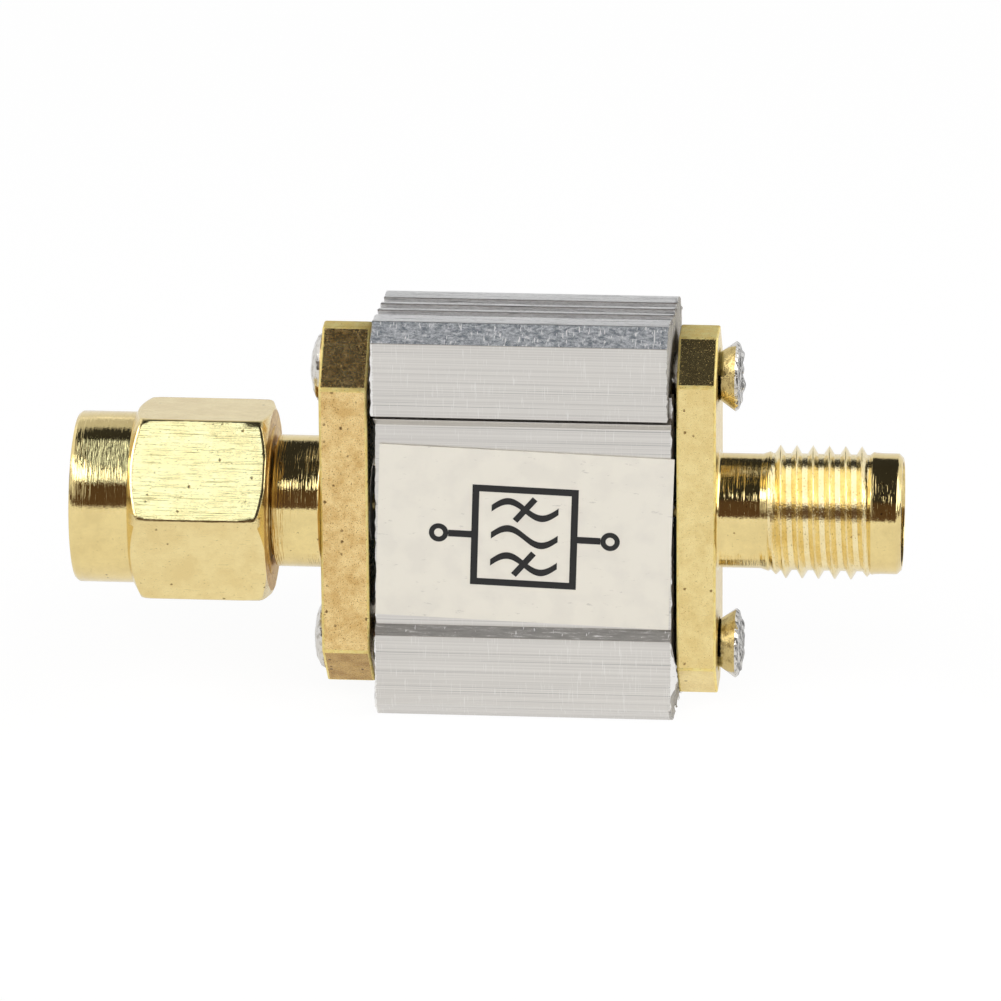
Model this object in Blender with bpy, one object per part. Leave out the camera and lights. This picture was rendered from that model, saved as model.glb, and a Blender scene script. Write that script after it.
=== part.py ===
"""In-line radio filter in a two-part extruded case, with a male and a female threaded coaxial connector.

Metres, +Z up. The connector axis runs along X, the male end towards -X, the labelled face towards -Y.
The case stands on its bottom face at z = 0, and x = 0 is the middle of the overall length.
"""

import math

import bmesh
import bpy
from mathutils import Matrix

MM = 0.001
AXIS_SEGMENTS = 40
SMALL_SEGMENTS = 24

# Clearances
fit_gap = 0.03 * MM
spin_gap = 0.05 * MM
slide_gap = 0.05 * MM
seat_gap = 0.02 * MM

# How far a cutter, or a piece that a union joins, runs past the face that it starts at
overrun = 1 * MM

# Case: the front and the rear half shell are the same extrusion, turned half a turn about the axis
shell_length = 12.95 * MM
case_depth = 5.64 * MM
case_end_margin = 2.89 * MM
corner_chamfer = 0.75 * MM
face_recess = 0.38 * MM
board_clearance = 0.37 * MM
boss_wall = 0.36 * MM
seam_step = 0.15 * MM
seam_gap = 0.10 * MM
tongue_thickness = 0.50 * MM
tongue_height = 1.00 * MM
groove_pitch = 0.85 * MM
groove_width = 0.54 * MM
groove_depth = 0.25 * MM
rear_shell_shift = 0.14 * MM

# Label on the front shell's recessed face
label_side_margin = 0.10 * MM
label_margin_above = 1.07 * MM
label_margin_below = 0.27 * MM
label_thickness = 0.08 * MM
label_tilt = math.radians(2.0)

# Flanges
male_end_gap = 0.29 * MM
female_end_gap = 0.24 * MM
flange_end_margin = 2.04 * MM
flange_depth = 5.1 * MM
male_flange_thickness = 2.1 * MM
female_flange_thickness = 1.7 * MM
male_flange_chamfer = 2.15 * MM
female_flange_chamfer = 1.7 * MM
neck_fillet = 0.20 * MM
neck_root = 0.25 * MM

# Flange screws, with a raised countersunk head and a cross recess
screw_spacing = 12.32 * MM
screw_radius = 0.95 * MM
screw_neck_radius = 1.10 * MM
head_radius = 1.53 * MM
head_cone_length = 0.72 * MM
head_dome_height = 0.48 * MM
screw_length = 5.6 * MM
male_screw_sink = 0.66 * MM
cross_width = 0.34 * MM
cross_length = 1.80 * MM
cross_depth = 0.62 * MM
cross_taper = 0.35

# Male connector, measured outwards from the flange's outer face
neck_radius = 2.87 * MM
nut_standoff = 2.20 * MM
nut_end_clearance = 0.15 * MM
nut_length = 8.64 * MM
nut_lip_length = 0.08 * MM
nut_lip_radius = 3.25 * MM
hex_length = 6.00 * MM
hex_across_flats = 8.0 * MM
hex_turn = math.radians(36.8)
hex_chamfer = 0.20 * MM
nut_round_radius = 3.73 * MM
nut_edge_chamfer = 0.15 * MM
nut_relief_length = 0.80 * MM
hub_radius = 2.40 * MM
hub_length = 3.40 * MM
hub_groove_depth = 0.30 * MM
nut_groove_depth = 0.40 * MM
ring_station = 0.85 * MM
ring_thickness = 0.40 * MM
ring_split = math.radians(24)
ferrule_radius = 2.295 * MM
ferrule_wall = 0.215 * MM
ferrule_setback = 2.70 * MM
gasket_thickness = 0.55 * MM
male_rear_bore_radius = 1.63 * MM
male_rear_bore_depth = 5.40 * MM

# Female connector, measured outwards from the flange's outer face
female_length = 7.84 * MM
thread_start = 1.69 * MM
thread_crest_radius = 2.88 * MM
thread_depth = 0.36 * MM
thread_pitch = 25.4 * MM / 36
thread_turns = 7
thread_crest_flat = 0.10 * MM
thread_clearance = 0.08 * MM
collar_radius = 2.62 * MM
collar_length = 1.16 * MM
collar_chamfer = 0.20 * MM
socket_depth = 1.95 * MM

# Centre conductors
conductor_radius = 0.635 * MM
conductor_shoulder = 0.40 * MM
tail_radius = 0.36 * MM
tail_length = 1.60 * MM
pin_radius = 0.455 * MM
pin_length = 2.05 * MM
pin_point = 0.45 * MM
contact_bore_radius = 0.47 * MM
contact_bore_depth = 2.80 * MM
contact_slot_width = 0.14 * MM
contact_slot_depth = 2.40 * MM

# Circuit board and its parts
board_thickness = 0.80 * MM
filter_side = 3.80 * MM
filter_base_height = 0.85 * MM
filter_lid_margin = 0.20 * MM
filter_lid_height = 0.20 * MM
filter_corner = 0.15 * MM
chip_length = 1.60 * MM
chip_width = 0.80 * MM
chip_height = 0.80 * MM
chip_terminal = 0.32 * MM
chip_waist = 0.05 * MM
chip_spacing = 0.70 * MM
joint_radius = 0.85 * MM
joint_overhang = 0.30 * MM
joint_standoff = 0.25 * MM
ground_joint_size = 0.55 * MM
ground_joint_length = 1.10 * MM

# Levels of the case's section, up from the connector axis
shell_hole_radius = screw_radius + slide_gap
block_face = screw_spacing / 2 - shell_hole_radius - boss_wall
seam_height = block_face + seam_step
recess_foot = seam_height + seam_step
axis_height = screw_spacing / 2 + case_end_margin
plate_face = case_depth / 2 - face_recess
cavity_half_depth = tail_radius + seat_gap + board_thickness + board_clearance

# Radii that fit inside one another
ring_inner_radius = hub_radius - hub_groove_depth
ring_outer_radius = hub_radius + nut_groove_depth
insulator_bore_radius = ferrule_radius - ferrule_wall
socket_radius = ferrule_radius + seat_gap
thread_root_radius = thread_crest_radius - thread_depth
barrel_radius = thread_root_radius - fit_gap
nut_thread_radius = thread_root_radius + thread_clearance
nut_relief_radius = thread_crest_radius + thread_clearance
hex_corner_radius = hex_across_flats / 2 / math.cos(math.pi / 6)
hex_chamfer_radius = hex_across_flats / 2 - hex_chamfer
screw_hole_radius = screw_neck_radius + slide_gap

# Places along the connector axis
flange_distance = shell_length + male_end_gap + female_end_gap
male_reach = flange_distance / 2 + male_flange_thickness + nut_standoff + nut_length
female_reach = flange_distance / 2 + female_flange_thickness + female_length
flanges_middle = (male_reach - female_reach) / 2
male_inner = flanges_middle - flange_distance / 2
male_outer = male_inner - male_flange_thickness
female_inner = flanges_middle + flange_distance / 2
female_outer = female_inner + female_flange_thickness
front_shell_middle = male_inner + male_end_gap + shell_length / 2
reference_plane = nut_standoff + nut_length - ferrule_setback
hub_start = nut_standoff - nut_end_clearance
hub_end = nut_standoff + hub_length

# Places on the circuit board, whose front carries the parts
board_front = tail_radius + seat_gap
board_height = 2 * (block_face - slide_gap)
chip_face = board_front - seat_gap
joint_length = tail_length + joint_overhang
chip_offset = (filter_side / 2 + flange_distance / 2 - joint_length) / 2
shunt_chip_rise = chip_width / 2 + chip_spacing + chip_length / 2
ground_joint_rise = (board_height - ground_joint_length) / 2


def clear_scene():
    for thing in list(bpy.data.objects):
        bpy.data.objects.remove(thing)


def make_material(name, colour, roughness, metallic):
    material = bpy.data.materials.new(name)
    material.use_nodes = True
    shader = material.node_tree.nodes["Principled BSDF"]
    shader.inputs["Base Color"].default_value = (*colour, 1.0)
    shader.inputs["Roughness"].default_value = roughness
    shader.inputs["Metallic"].default_value = metallic
    return material


def place(name, shape, parent, material, location=(0, 0, 0), rotation=(0, 0, 0)):
    """One object from a bmesh or from a mesh that another object already has."""
    mesh = shape
    if isinstance(shape, bmesh.types.BMesh):
        mesh = bpy.data.meshes.new(name)
        shape.to_mesh(mesh)
        shape.free()
    thing = bpy.data.objects.new(name, mesh)
    bpy.context.scene.collection.objects.link(thing)
    thing.parent = parent
    thing.location = location
    thing.rotation_euler = rotation
    if material is not None:
        mesh.materials.append(material)
    return thing


def helper(name, shape, parent, location=(0, 0, 0), rotation=(0, 0, 0)):
    thing = place(name, shape, parent, None, location, rotation)
    thing.hide_render = True
    thing.display_type = "WIRE"
    return thing


def combine(thing, other, operation):
    modifier = thing.modifiers.new(other.name, "BOOLEAN")
    modifier.operation = operation
    modifier.solver = "EXACT"
    modifier.object = other


def round_off(thing, degrees=35):
    thing.data.shade_smooth()
    thing.data.set_sharp_from_angle(angle=math.radians(degrees))


def turned(points, segments=AXIS_SEGMENTS, ring=False):
    """A solid of revolution about X from (x, radius) points; a ring's outline closes on itself."""
    shape = bmesh.new()
    corners = [shape.verts.new((x, 0, radius)) for x, radius in points]
    edges = [shape.edges.new(pair) for pair in zip(corners, corners[1:])]
    if ring:
        edges.append(shape.edges.new((corners[-1], corners[0])))
    bmesh.ops.spin(
        shape,
        geom=corners + edges,
        cent=(0, 0, 0),
        axis=(1, 0, 0),
        angle=math.tau,
        steps=segments,
        use_merge=True,
    )
    bmesh.ops.remove_doubles(shape, verts=shape.verts, dist=1e-8)
    bmesh.ops.recalc_face_normals(shape, faces=shape.faces)
    return shape


def rod(start, end, radius, segments=AXIS_SEGMENTS):
    return turned([(start, 0), (start, radius), (end, radius), (end, 0)], segments)


def prism(outline, start, end):
    """An outline of (y, z) points extruded along X."""
    shape = bmesh.new()
    face = shape.faces.new([shape.verts.new((start, y, z)) for y, z in outline])
    grown = bmesh.ops.extrude_face_region(shape, geom=[face])
    moved = [item for item in grown["geom"] if isinstance(item, bmesh.types.BMVert)]
    bmesh.ops.translate(shape, verts=moved, vec=(end - start, 0, 0))
    bmesh.ops.recalc_face_normals(shape, faces=shape.faces)
    return shape


def block(size_x, size_y, size_z, centre=(0, 0, 0)):
    shape = bmesh.new()
    bmesh.ops.create_cube(shape, size=1)
    bmesh.ops.scale(shape, verts=shape.verts, vec=(size_x, size_y, size_z))
    bmesh.ops.translate(shape, verts=shape.verts, vec=centre)
    return shape


def fillet_points(station, radius, size, steps=4):
    """The hollow corner where a barrel leaves a flat face at this station, as (x, radius) points."""
    angles = [math.pi / 2 * step / steps for step in range(steps + 1)]
    return [
        (station + size * (1 - math.cos(angle)), radius + size * (1 - math.sin(angle)))
        for angle in angles
    ]


def neck_start(radius, thickness):
    """Where a barrel grows out of its flange: it is wider than the flange, but only from the face on."""
    root = flange_depth / 2 - neck_root
    return [(-thickness / 2, 0), (-thickness / 2, root), (0, root)] + fillet_points(
        0, radius, neck_fillet
    )


def mirrored(points, side):
    return [(side * x, radius) for x, radius in points]


def grooved_base(half_width, level):
    """The bottom edge of the shell's section, front to rear, with three grooves along the extrusion."""
    points = [(-half_width, level)]
    for middle in (-groove_pitch, 0, groove_pitch):
        left = middle - groove_width / 2
        right = middle + groove_width / 2
        points += [
            (left, level),
            (left, level + groove_depth),
            (right, level + groove_depth),
            (right, level),
        ]
    return points + [(half_width, level)]


def half_shell_section():
    """The front half shell: a solid block below, a recessed plate above it and a tongue on top."""
    depth = case_depth / 2
    height = axis_height
    lip = seam_height - seam_gap
    tongue_face = cavity_half_depth + tongue_thickness
    tongue_top = lip + tongue_height
    slot_floor = tongue_top + seam_gap
    outline = grooved_base(depth - corner_chamfer, -height)
    outline += [
        (depth, corner_chamfer - height),
        (depth, -seam_height),
        (tongue_face + slide_gap, -seam_height),
        (tongue_face + slide_gap, -slot_floor),
        (cavity_half_depth - slide_gap, -slot_floor),
        (cavity_half_depth - slide_gap, -block_face),
        (-cavity_half_depth, -block_face),
        (-cavity_half_depth, tongue_top),
        (-tongue_face, tongue_top),
        (-tongue_face, lip),
        (-depth, lip),
        (-plate_face, lip - face_recess),
        (-plate_face, face_recess - recess_foot),
        (-depth, -recess_foot),
        (-depth, corner_chamfer - height),
    ]
    return outline


def build_shells(parent, aluminium):
    section = prism(half_shell_section(), -shell_length / 2, shell_length / 2)
    front = place(
        "front_half_shell", section, parent, aluminium, (front_shell_middle, 0, 0)
    )
    rear = place(
        "rear_half_shell",
        front.data,
        parent,
        None,
        (front_shell_middle - rear_shell_shift, 0, 0),
        (math.pi, 0, 0),
    )
    for shell, side in ((front, -1), (rear, 1)):
        drill = helper(
            f"{shell.name}_drill",
            rod(-shell_length, shell_length, shell_hole_radius, SMALL_SEGMENTS),
            parent,
            (front_shell_middle, 0, side * screw_spacing / 2),
        )
        combine(shell, drill, "DIFFERENCE")


def build_label(parent, paper):
    top = seam_height - seam_gap - face_recess - label_margin_above
    bottom = face_recess - recess_foot + label_margin_below
    width = shell_length - 2 * label_side_margin
    back = -plate_face - seat_gap
    place(
        "label",
        block(width, label_thickness, top - bottom),
        parent,
        paper,
        (front_shell_middle, back - label_thickness / 2, (top + bottom) / 2),
        (0, label_tilt, 0),
    )


def flange_plate(thickness, chamfer, side):
    """The narrow two-hole flange, from its outer face at x = 0 towards the case."""
    depth = flange_depth / 2
    height = screw_spacing / 2 + flange_end_margin
    outline = [
        (-depth, chamfer - height),
        (chamfer - depth, -height),
        (depth - chamfer, -height),
        (depth, chamfer - height),
        (depth, height - chamfer),
        (depth - chamfer, height),
        (chamfer - depth, height),
        (-depth, height - chamfer),
    ]
    return prism(outline, -side * thickness, 0)


def screw_hole_cutter(thickness, sink, side):
    reach = thickness + overrun
    flare = screw_hole_radius + sink * (head_radius - screw_neck_radius) / head_cone_length
    points = [
        (-reach, 0),
        (-reach, screw_hole_radius),
        (-sink, screw_hole_radius),
        (0, flare),
        (overrun, flare),
        (overrun, 0),
    ]
    return turned(mirrored(points, side), SMALL_SEGMENTS)


def build_connector_body(name, parent, brass, outer, side, sizes, barrel, bore):
    """A flange with its barrel in one piece: outer is the flange's outer face, side the way it points."""
    body = place(
        name,
        flange_plate(sizes["thickness"], sizes["chamfer"], side),
        parent,
        brass,
        (outer, 0, 0),
    )
    turned_end = helper(f"{name}_barrel", turned(mirrored(barrel, side)), parent, (outer, 0, 0))
    combine(body, turned_end, "UNION")
    reamer = helper(f"{name}_bore", turned(mirrored(bore, side)), parent, (outer, 0, 0))
    combine(body, reamer, "DIFFERENCE")
    for end, rise in (("top", screw_spacing / 2), ("bottom", -screw_spacing / 2)):
        cutter = screw_hole_cutter(sizes["thickness"], sizes["sink"], side)
        drill = helper(f"{name}_{end}_hole", cutter, parent, (outer, 0, rise))
        combine(body, drill, "DIFFERENCE")
    return body


def build_male_body(parent, brass):
    groove_start = nut_standoff + ring_station - spin_gap
    groove_end = groove_start + ring_thickness + 2 * spin_gap
    groove_radius = ring_inner_radius - spin_gap
    barrel = neck_start(neck_radius, male_flange_thickness)
    barrel += [
        (hub_start, neck_radius),
        (hub_start, hub_radius),
        (groove_start, hub_radius),
        (groove_start, groove_radius),
        (groove_end, groove_radius),
        (groove_end, hub_radius),
        (hub_end, hub_radius),
        (hub_end, ferrule_radius),
        (reference_plane, ferrule_radius),
        (reference_plane, 0),
    ]
    inner = -male_flange_thickness - overrun
    bore = [
        (inner, 0),
        (inner, male_rear_bore_radius),
        (male_rear_bore_depth, male_rear_bore_radius),
        (male_rear_bore_depth, insulator_bore_radius),
        (reference_plane + overrun, insulator_bore_radius),
        (reference_plane + overrun, 0),
    ]
    sizes = {
        "thickness": male_flange_thickness,
        "chamfer": male_flange_chamfer,
        "sink": male_screw_sink,
    }
    return build_connector_body(
        "male_flange_body", parent, brass, male_outer, -1, sizes, barrel, bore
    )


def thread_points():
    """The turned outline of the outer thread: one ridge for each turn."""
    ridge = thread_pitch - 2 * thread_crest_flat
    points = []
    for turn in range(thread_turns):
        start = thread_start + turn * thread_pitch
        points += [
            (start, thread_root_radius),
            (start + ridge / 2, thread_crest_radius),
            (start + ridge / 2 + thread_crest_flat, thread_crest_radius),
        ]
    end = thread_start + thread_turns * thread_pitch
    return points + [(end, thread_root_radius)]


def build_female_body(parent, brass):
    collar_start = female_length - collar_length
    barrel = neck_start(barrel_radius, female_flange_thickness)
    barrel += [(thread_start - thread_crest_flat, barrel_radius)]
    barrel += thread_points()
    barrel += [
        (collar_start, thread_root_radius),
        (collar_start, collar_radius),
        (female_length - collar_chamfer, collar_radius),
        (female_length, collar_radius - collar_chamfer),
        (female_length, 0),
    ]
    inner = -female_flange_thickness - overrun
    floor = female_length - socket_depth
    bore = [
        (inner, 0),
        (inner, insulator_bore_radius),
        (floor, insulator_bore_radius),
        (floor, socket_radius),
        (female_length + overrun, socket_radius),
        (female_length + overrun, 0),
    ]
    sizes = {
        "thickness": female_flange_thickness,
        "chamfer": female_flange_chamfer,
        "sink": 0,
    }
    return build_connector_body(
        "female_flange_body", parent, brass, female_outer, 1, sizes, barrel, bore
    )


def hexagon():
    angles = [hex_turn + math.pi / 3 * corner for corner in range(6)]
    return [
        (hex_corner_radius * math.sin(angle), hex_corner_radius * math.cos(angle))
        for angle in angles
    ]


def build_coupling_nut(parent, brass):
    """The nut's own x = 0 is its rear face, and it reaches towards -X."""
    hex_start = nut_lip_length
    hex_end = hex_start + hex_length
    slope = (hex_corner_radius - hex_chamfer_radius) * math.tan(math.radians(30))
    nut = place(
        "coupling_nut",
        prism(hexagon(), -hex_start, -hex_end),
        parent,
        brass,
        (male_outer - nut_standoff, 0, 0),
    )
    envelope = [
        (hex_start - slope, 0),
        (hex_start - slope, hex_chamfer_radius - slope),
        (hex_start, hex_chamfer_radius),
        (hex_start + slope, hex_corner_radius),
        (hex_end - slope, hex_corner_radius),
        (hex_end, hex_chamfer_radius),
        (hex_end + slope, hex_chamfer_radius - slope),
        (hex_end + slope, 0),
    ]
    round_end = [
        (hex_end - overrun, 0),
        (hex_end - overrun, nut_round_radius),
        (nut_length - nut_edge_chamfer, nut_round_radius),
        (nut_length, nut_round_radius - nut_edge_chamfer),
        (nut_length, 0),
    ]
    lip = [
        (0, 0),
        (0, nut_lip_radius),
        (hex_start + overrun, nut_lip_radius),
        (hex_start + overrun, 0),
    ]
    hub_bore = hub_radius + spin_gap
    ring_start = ring_station - 2 * spin_gap
    ring_end = ring_station + ring_thickness + 2 * spin_gap
    ring_bore = ring_outer_radius + spin_gap
    relief_start = hub_length - 0.40 * MM
    relief_end = relief_start + nut_relief_length
    mouth = nut_relief_radius - nut_thread_radius
    bore = [
        (-overrun, 0),
        (-overrun, hub_bore),
        (ring_start, hub_bore),
        (ring_start, ring_bore),
        (ring_end, ring_bore),
        (ring_end, hub_bore),
        (relief_start, hub_bore),
        (relief_start, nut_relief_radius),
        (relief_end, nut_relief_radius),
        (relief_end, nut_thread_radius),
        (nut_length - mouth, nut_thread_radius),
        (nut_length, nut_relief_radius),
        (nut_length + overrun, nut_relief_radius),
        (nut_length + overrun, 0),
    ]
    for label, points, operation in (
        ("envelope", envelope, "INTERSECT"),
        ("round_end", round_end, "UNION"),
        ("lip", lip, "UNION"),
        ("bore", bore, "DIFFERENCE"),
    ):
        tool = helper(f"coupling_nut_{label}", turned(mirrored(points, -1)), nut)
        combine(nut, tool, operation)
    return nut


def build_snap_ring(parent, steel):
    """A split ring of square wire, half in the hub's groove and half in the nut's."""
    shape = bmesh.new()
    start = -ring_thickness / 2
    end = ring_thickness / 2
    corners = [
        (start, ring_inner_radius),
        (end, ring_inner_radius),
        (end, ring_outer_radius),
        (start, ring_outer_radius),
    ]
    face = shape.faces.new([shape.verts.new((x, 0, -radius)) for x, radius in corners])
    bmesh.ops.rotate(
        shape,
        verts=shape.verts,
        cent=(0, 0, 0),
        matrix=Matrix.Rotation(ring_split / 2, 3, "X"),
    )
    bmesh.ops.spin(
        shape,
        geom=[face],
        cent=(0, 0, 0),
        axis=(1, 0, 0),
        angle=math.tau - ring_split,
        steps=AXIS_SEGMENTS - 4,
    )
    bmesh.ops.recalc_face_normals(shape, faces=shape.faces)
    station = male_outer - nut_standoff - ring_station - ring_thickness / 2
    return place("nut_snap_ring", shape, parent, steel, (station, 0, 0))


def build_gasket(parent, rubber):
    inner = ferrule_radius + fit_gap
    outer = nut_thread_radius - spin_gap
    start = hub_end + fit_gap
    end = start + gasket_thickness
    points = [(start, inner), (end, inner), (end, outer), (start, outer)]
    place("nut_gasket", turned(mirrored(points, -1), ring=True), parent, rubber, (male_outer, 0, 0))


def build_insulators(parent, ptfe):
    bore = conductor_radius + fit_gap
    tail_bore = tail_radius + fit_gap
    male_back = fit_gap - male_flange_thickness
    male_points = [
        (male_back, tail_bore),
        (male_back, male_rear_bore_radius - fit_gap),
        (male_rear_bore_depth + fit_gap, male_rear_bore_radius - fit_gap),
        (male_rear_bore_depth + fit_gap, insulator_bore_radius - fit_gap),
        (reference_plane, insulator_bore_radius - fit_gap),
        (reference_plane, bore),
        (conductor_shoulder - male_flange_thickness, bore),
        (conductor_shoulder - male_flange_thickness, tail_bore),
    ]
    female_back = fit_gap - female_flange_thickness
    female_front = female_length - socket_depth
    female_points = [
        (female_back, tail_bore),
        (female_back, insulator_bore_radius - fit_gap),
        (female_front, insulator_bore_radius - fit_gap),
        (female_front, bore),
        (conductor_shoulder - female_flange_thickness, bore),
        (conductor_shoulder - female_flange_thickness, tail_bore),
    ]
    for name, points, outer, side in (
        ("male_insulator", male_points, male_outer, -1),
        ("female_insulator", female_points, female_outer, 1),
    ):
        place(name, turned(mirrored(points, side), ring=True), parent, ptfe, (outer, 0, 0))


def conductor_root(thickness):
    """The soldered tail and the shoulder that both centre conductors share."""
    shoulder = conductor_shoulder + fit_gap - thickness
    tail_end = -thickness - tail_length
    return [
        (tail_end, 0),
        (tail_end, tail_radius),
        (shoulder, tail_radius),
        (shoulder, conductor_radius),
    ]


def build_conductors(parent, gold):
    pin_end = reference_plane + pin_length
    pin_points = conductor_root(male_flange_thickness) + [
        (reference_plane, conductor_radius),
        (reference_plane, pin_radius),
        (pin_end - pin_point, pin_radius),
        (pin_end, pin_radius / 3),
        (pin_end, 0),
    ]
    place(
        "male_centre_pin",
        turned(mirrored(pin_points, -1), SMALL_SEGMENTS),
        parent,
        gold,
        (male_outer, 0, 0),
    )
    front = female_length - socket_depth
    contact_points = conductor_root(female_flange_thickness) + [
        (front, conductor_radius),
        (front, contact_bore_radius),
        (front - contact_bore_depth, contact_bore_radius),
        (front - contact_bore_depth, 0),
    ]
    contact = place(
        "female_centre_contact",
        turned(contact_points, SMALL_SEGMENTS),
        parent,
        gold,
        (female_outer, 0, 0),
    )
    middle = (front + (overrun - contact_slot_depth) / 2, 0, 0)
    long = contact_slot_depth + overrun
    wide = 4 * conductor_radius
    for name, shape in (
        ("contact_slot_a", block(long, contact_slot_width, wide, middle)),
        ("contact_slot_b", block(long, wide, contact_slot_width, middle)),
    ):
        saw = helper(name, shape, parent, (female_outer, 0, 0))
        combine(contact, saw, "DIFFERENCE")


def screw_points(sink):
    """A screw from its tip to the top of its raised head, with x = 0 at the flange's outer face."""
    tip = -sink - screw_length
    rim = head_cone_length - sink
    steps = 4
    dome = [
        (
            rim + head_dome_height * math.sin(math.pi / 2 * step / steps),
            head_radius * math.cos(math.pi / 2 * step / steps),
        )
        for step in range(steps)
    ]
    points = [
        (tip, 0),
        (tip, screw_radius * 0.6),
        (tip + screw_radius * 0.4, screw_radius),
        (-sink - screw_radius / 4, screw_radius),
        (-sink, screw_neck_radius),
    ]
    return points + dome + [(rim + head_dome_height, 0)]


def cross_cutter(sink):
    """The cross recess: two tapered blades that meet on the screw's axis."""
    dome = head_cone_length - sink + head_dome_height
    top = dome + overrun
    bottom = dome - cross_depth
    shape = bmesh.new()
    reach = cross_length / 2
    half = cross_width / 2
    ring = []
    for turn in range(4):
        angle = math.pi / 2 * turn
        for along, across in ((reach, -half), (reach, half), (half, half)):
            y = along * math.cos(angle) - across * math.sin(angle)
            z = along * math.sin(angle) + across * math.cos(angle)
            ring.append((y, z))
    outer = [shape.verts.new((top, y, z)) for y, z in ring]
    inner = [shape.verts.new((bottom, y * cross_taper, z * cross_taper)) for y, z in ring]
    shape.faces.new(outer)
    shape.faces.new(inner[::-1])
    for index in range(len(ring)):
        after = (index + 1) % len(ring)
        shape.faces.new((outer[index], inner[index], inner[after], outer[after]))
    bmesh.ops.recalc_face_normals(shape, faces=shape.faces)
    return shape


def build_screws(parent, steel):
    for end, outer, side, sink in (
        ("male", male_outer, -1, male_screw_sink),
        ("female", female_outer, 1, 0),
    ):
        facing = (0, 0, 0) if side > 0 else (0, 0, math.pi)
        for place_name, rise in (("top", screw_spacing / 2), ("bottom", -screw_spacing / 2)):
            name = f"{end}_flange_screw_{place_name}"
            screw = place(
                name,
                turned(screw_points(sink), SMALL_SEGMENTS),
                parent,
                steel,
                (outer, 0, rise),
                facing,
            )
            recess = helper(f"{name}_recess", cross_cutter(sink), screw)
            combine(screw, recess, "DIFFERENCE")
            round_off(screw)


def build_board(parent, board_green):
    length = flange_distance - 2 * seat_gap
    place(
        "circuit_board",
        block(length, board_thickness, board_height),
        parent,
        board_green,
        (flanges_middle, board_front + board_thickness / 2, 0),
    )


def chip(length, width, height):
    """A surface-mount chip: two end terminals that stand a little proud of its body."""
    terminal = length / 2 - chip_terminal
    outline = [
        (-length / 2, -width / 2),
        (-terminal, -width / 2),
        (-terminal, chip_waist - width / 2),
        (terminal, chip_waist - width / 2),
        (terminal, -width / 2),
        (length / 2, -width / 2),
        (length / 2, width / 2),
        (terminal, width / 2),
        (terminal, width / 2 - chip_waist),
        (-terminal, width / 2 - chip_waist),
        (-terminal, width / 2),
        (-length / 2, width / 2),
    ]
    return prism(outline, 0, height)


def build_board_parts(parent, looks):
    base_middle = chip_face - filter_base_height / 2
    base = place(
        "saw_filter_package",
        block(filter_side, filter_base_height, filter_side),
        parent,
        looks["ceramic"],
        (flanges_middle, base_middle, 0),
    )
    bevel = base.modifiers.new("corners", "BEVEL")
    bevel.width = filter_corner
    bevel.segments = 1
    lid_side = filter_side - 2 * filter_lid_margin
    lid_middle = chip_face - filter_base_height - seat_gap - filter_lid_height / 2
    place(
        "saw_filter_lid",
        block(lid_side, filter_lid_height, lid_side),
        parent,
        looks["gold"],
        (flanges_middle, lid_middle, 0),
    )
    # A chip's outline lies in the board's plane and its height points to -Y
    flat = (0, 0, -math.pi / 2)
    upright = (math.pi / 2, 0, -math.pi / 2)
    for end, side in (("input", -1), ("output", 1)):
        chip_x = flanges_middle + side * chip_offset
        place(
            f"{end}_inductor",
            chip(chip_length, chip_width, chip_height),
            parent,
            looks["ferrite"],
            (chip_x, chip_face, 0),
            flat,
        )
        place(
            f"{end}_capacitor",
            chip(chip_length, chip_width, chip_height),
            parent,
            looks["chip_brown"],
            (chip_x, chip_face, shunt_chip_rise),
            upright,
        )


def build_pin_joints(parent, solder):
    """Solder over each conductor's tail, cut clear of the tail and of the board."""
    for name, inner, side in (
        ("male_pin_solder", male_inner, 1),
        ("female_pin_solder", female_inner, -1),
    ):
        half_length = (joint_length - joint_standoff) / 2
        middle = joint_standoff + half_length
        shape = bmesh.new()
        bmesh.ops.create_uvsphere(shape, u_segments=16, v_segments=10, radius=1)
        bmesh.ops.scale(shape, verts=shape.verts, vec=(half_length, joint_radius, joint_radius))
        bmesh.ops.translate(shape, verts=shape.verts, vec=(side * middle, tail_radius / 2, 0))
        joint = place(name, shape, parent, solder, (inner, 0, 0))
        tail_bore = helper(
            f"{name}_tail",
            rod(-overrun, tail_length + fit_gap, tail_radius + fit_gap, SMALL_SEGMENTS),
            joint,
            rotation=(0, 0, 0 if side > 0 else math.pi),
        )
        combine(joint, tail_bore, "DIFFERENCE")
        wide = 4 * joint_length
        deep = 2 * joint_radius
        board_side = helper(
            f"{name}_board",
            block(wide, deep, wide, (0, chip_face + deep / 2, 0)),
            joint,
        )
        combine(joint, board_side, "DIFFERENCE")


def build_ground_joints(parent, solder):
    """Small solder wedges that tie the board's ground to both flanges."""
    size = ground_joint_size
    outline = [(seat_gap, seat_gap), (size, seat_gap), (size * 0.45, size * 0.45), (seat_gap, size)]
    for end, inner, side in (("male", male_inner, 1), ("female", female_inner, -1)):
        for level, rise in (("upper", ground_joint_rise), ("lower", -ground_joint_rise)):
            shape = bmesh.new()
            corners = [
                shape.verts.new((side * x, board_front - out, -ground_joint_length / 2))
                for x, out in outline
            ]
            face = shape.faces.new(corners)
            grown = bmesh.ops.extrude_face_region(shape, geom=[face])
            moved = [item for item in grown["geom"] if isinstance(item, bmesh.types.BMVert)]
            bmesh.ops.translate(shape, verts=moved, vec=(0, 0, ground_joint_length))
            bmesh.ops.recalc_face_normals(shape, faces=shape.faces)
            place(f"{end}_ground_solder_{level}", shape, parent, solder, (inner, 0, rise))


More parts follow.
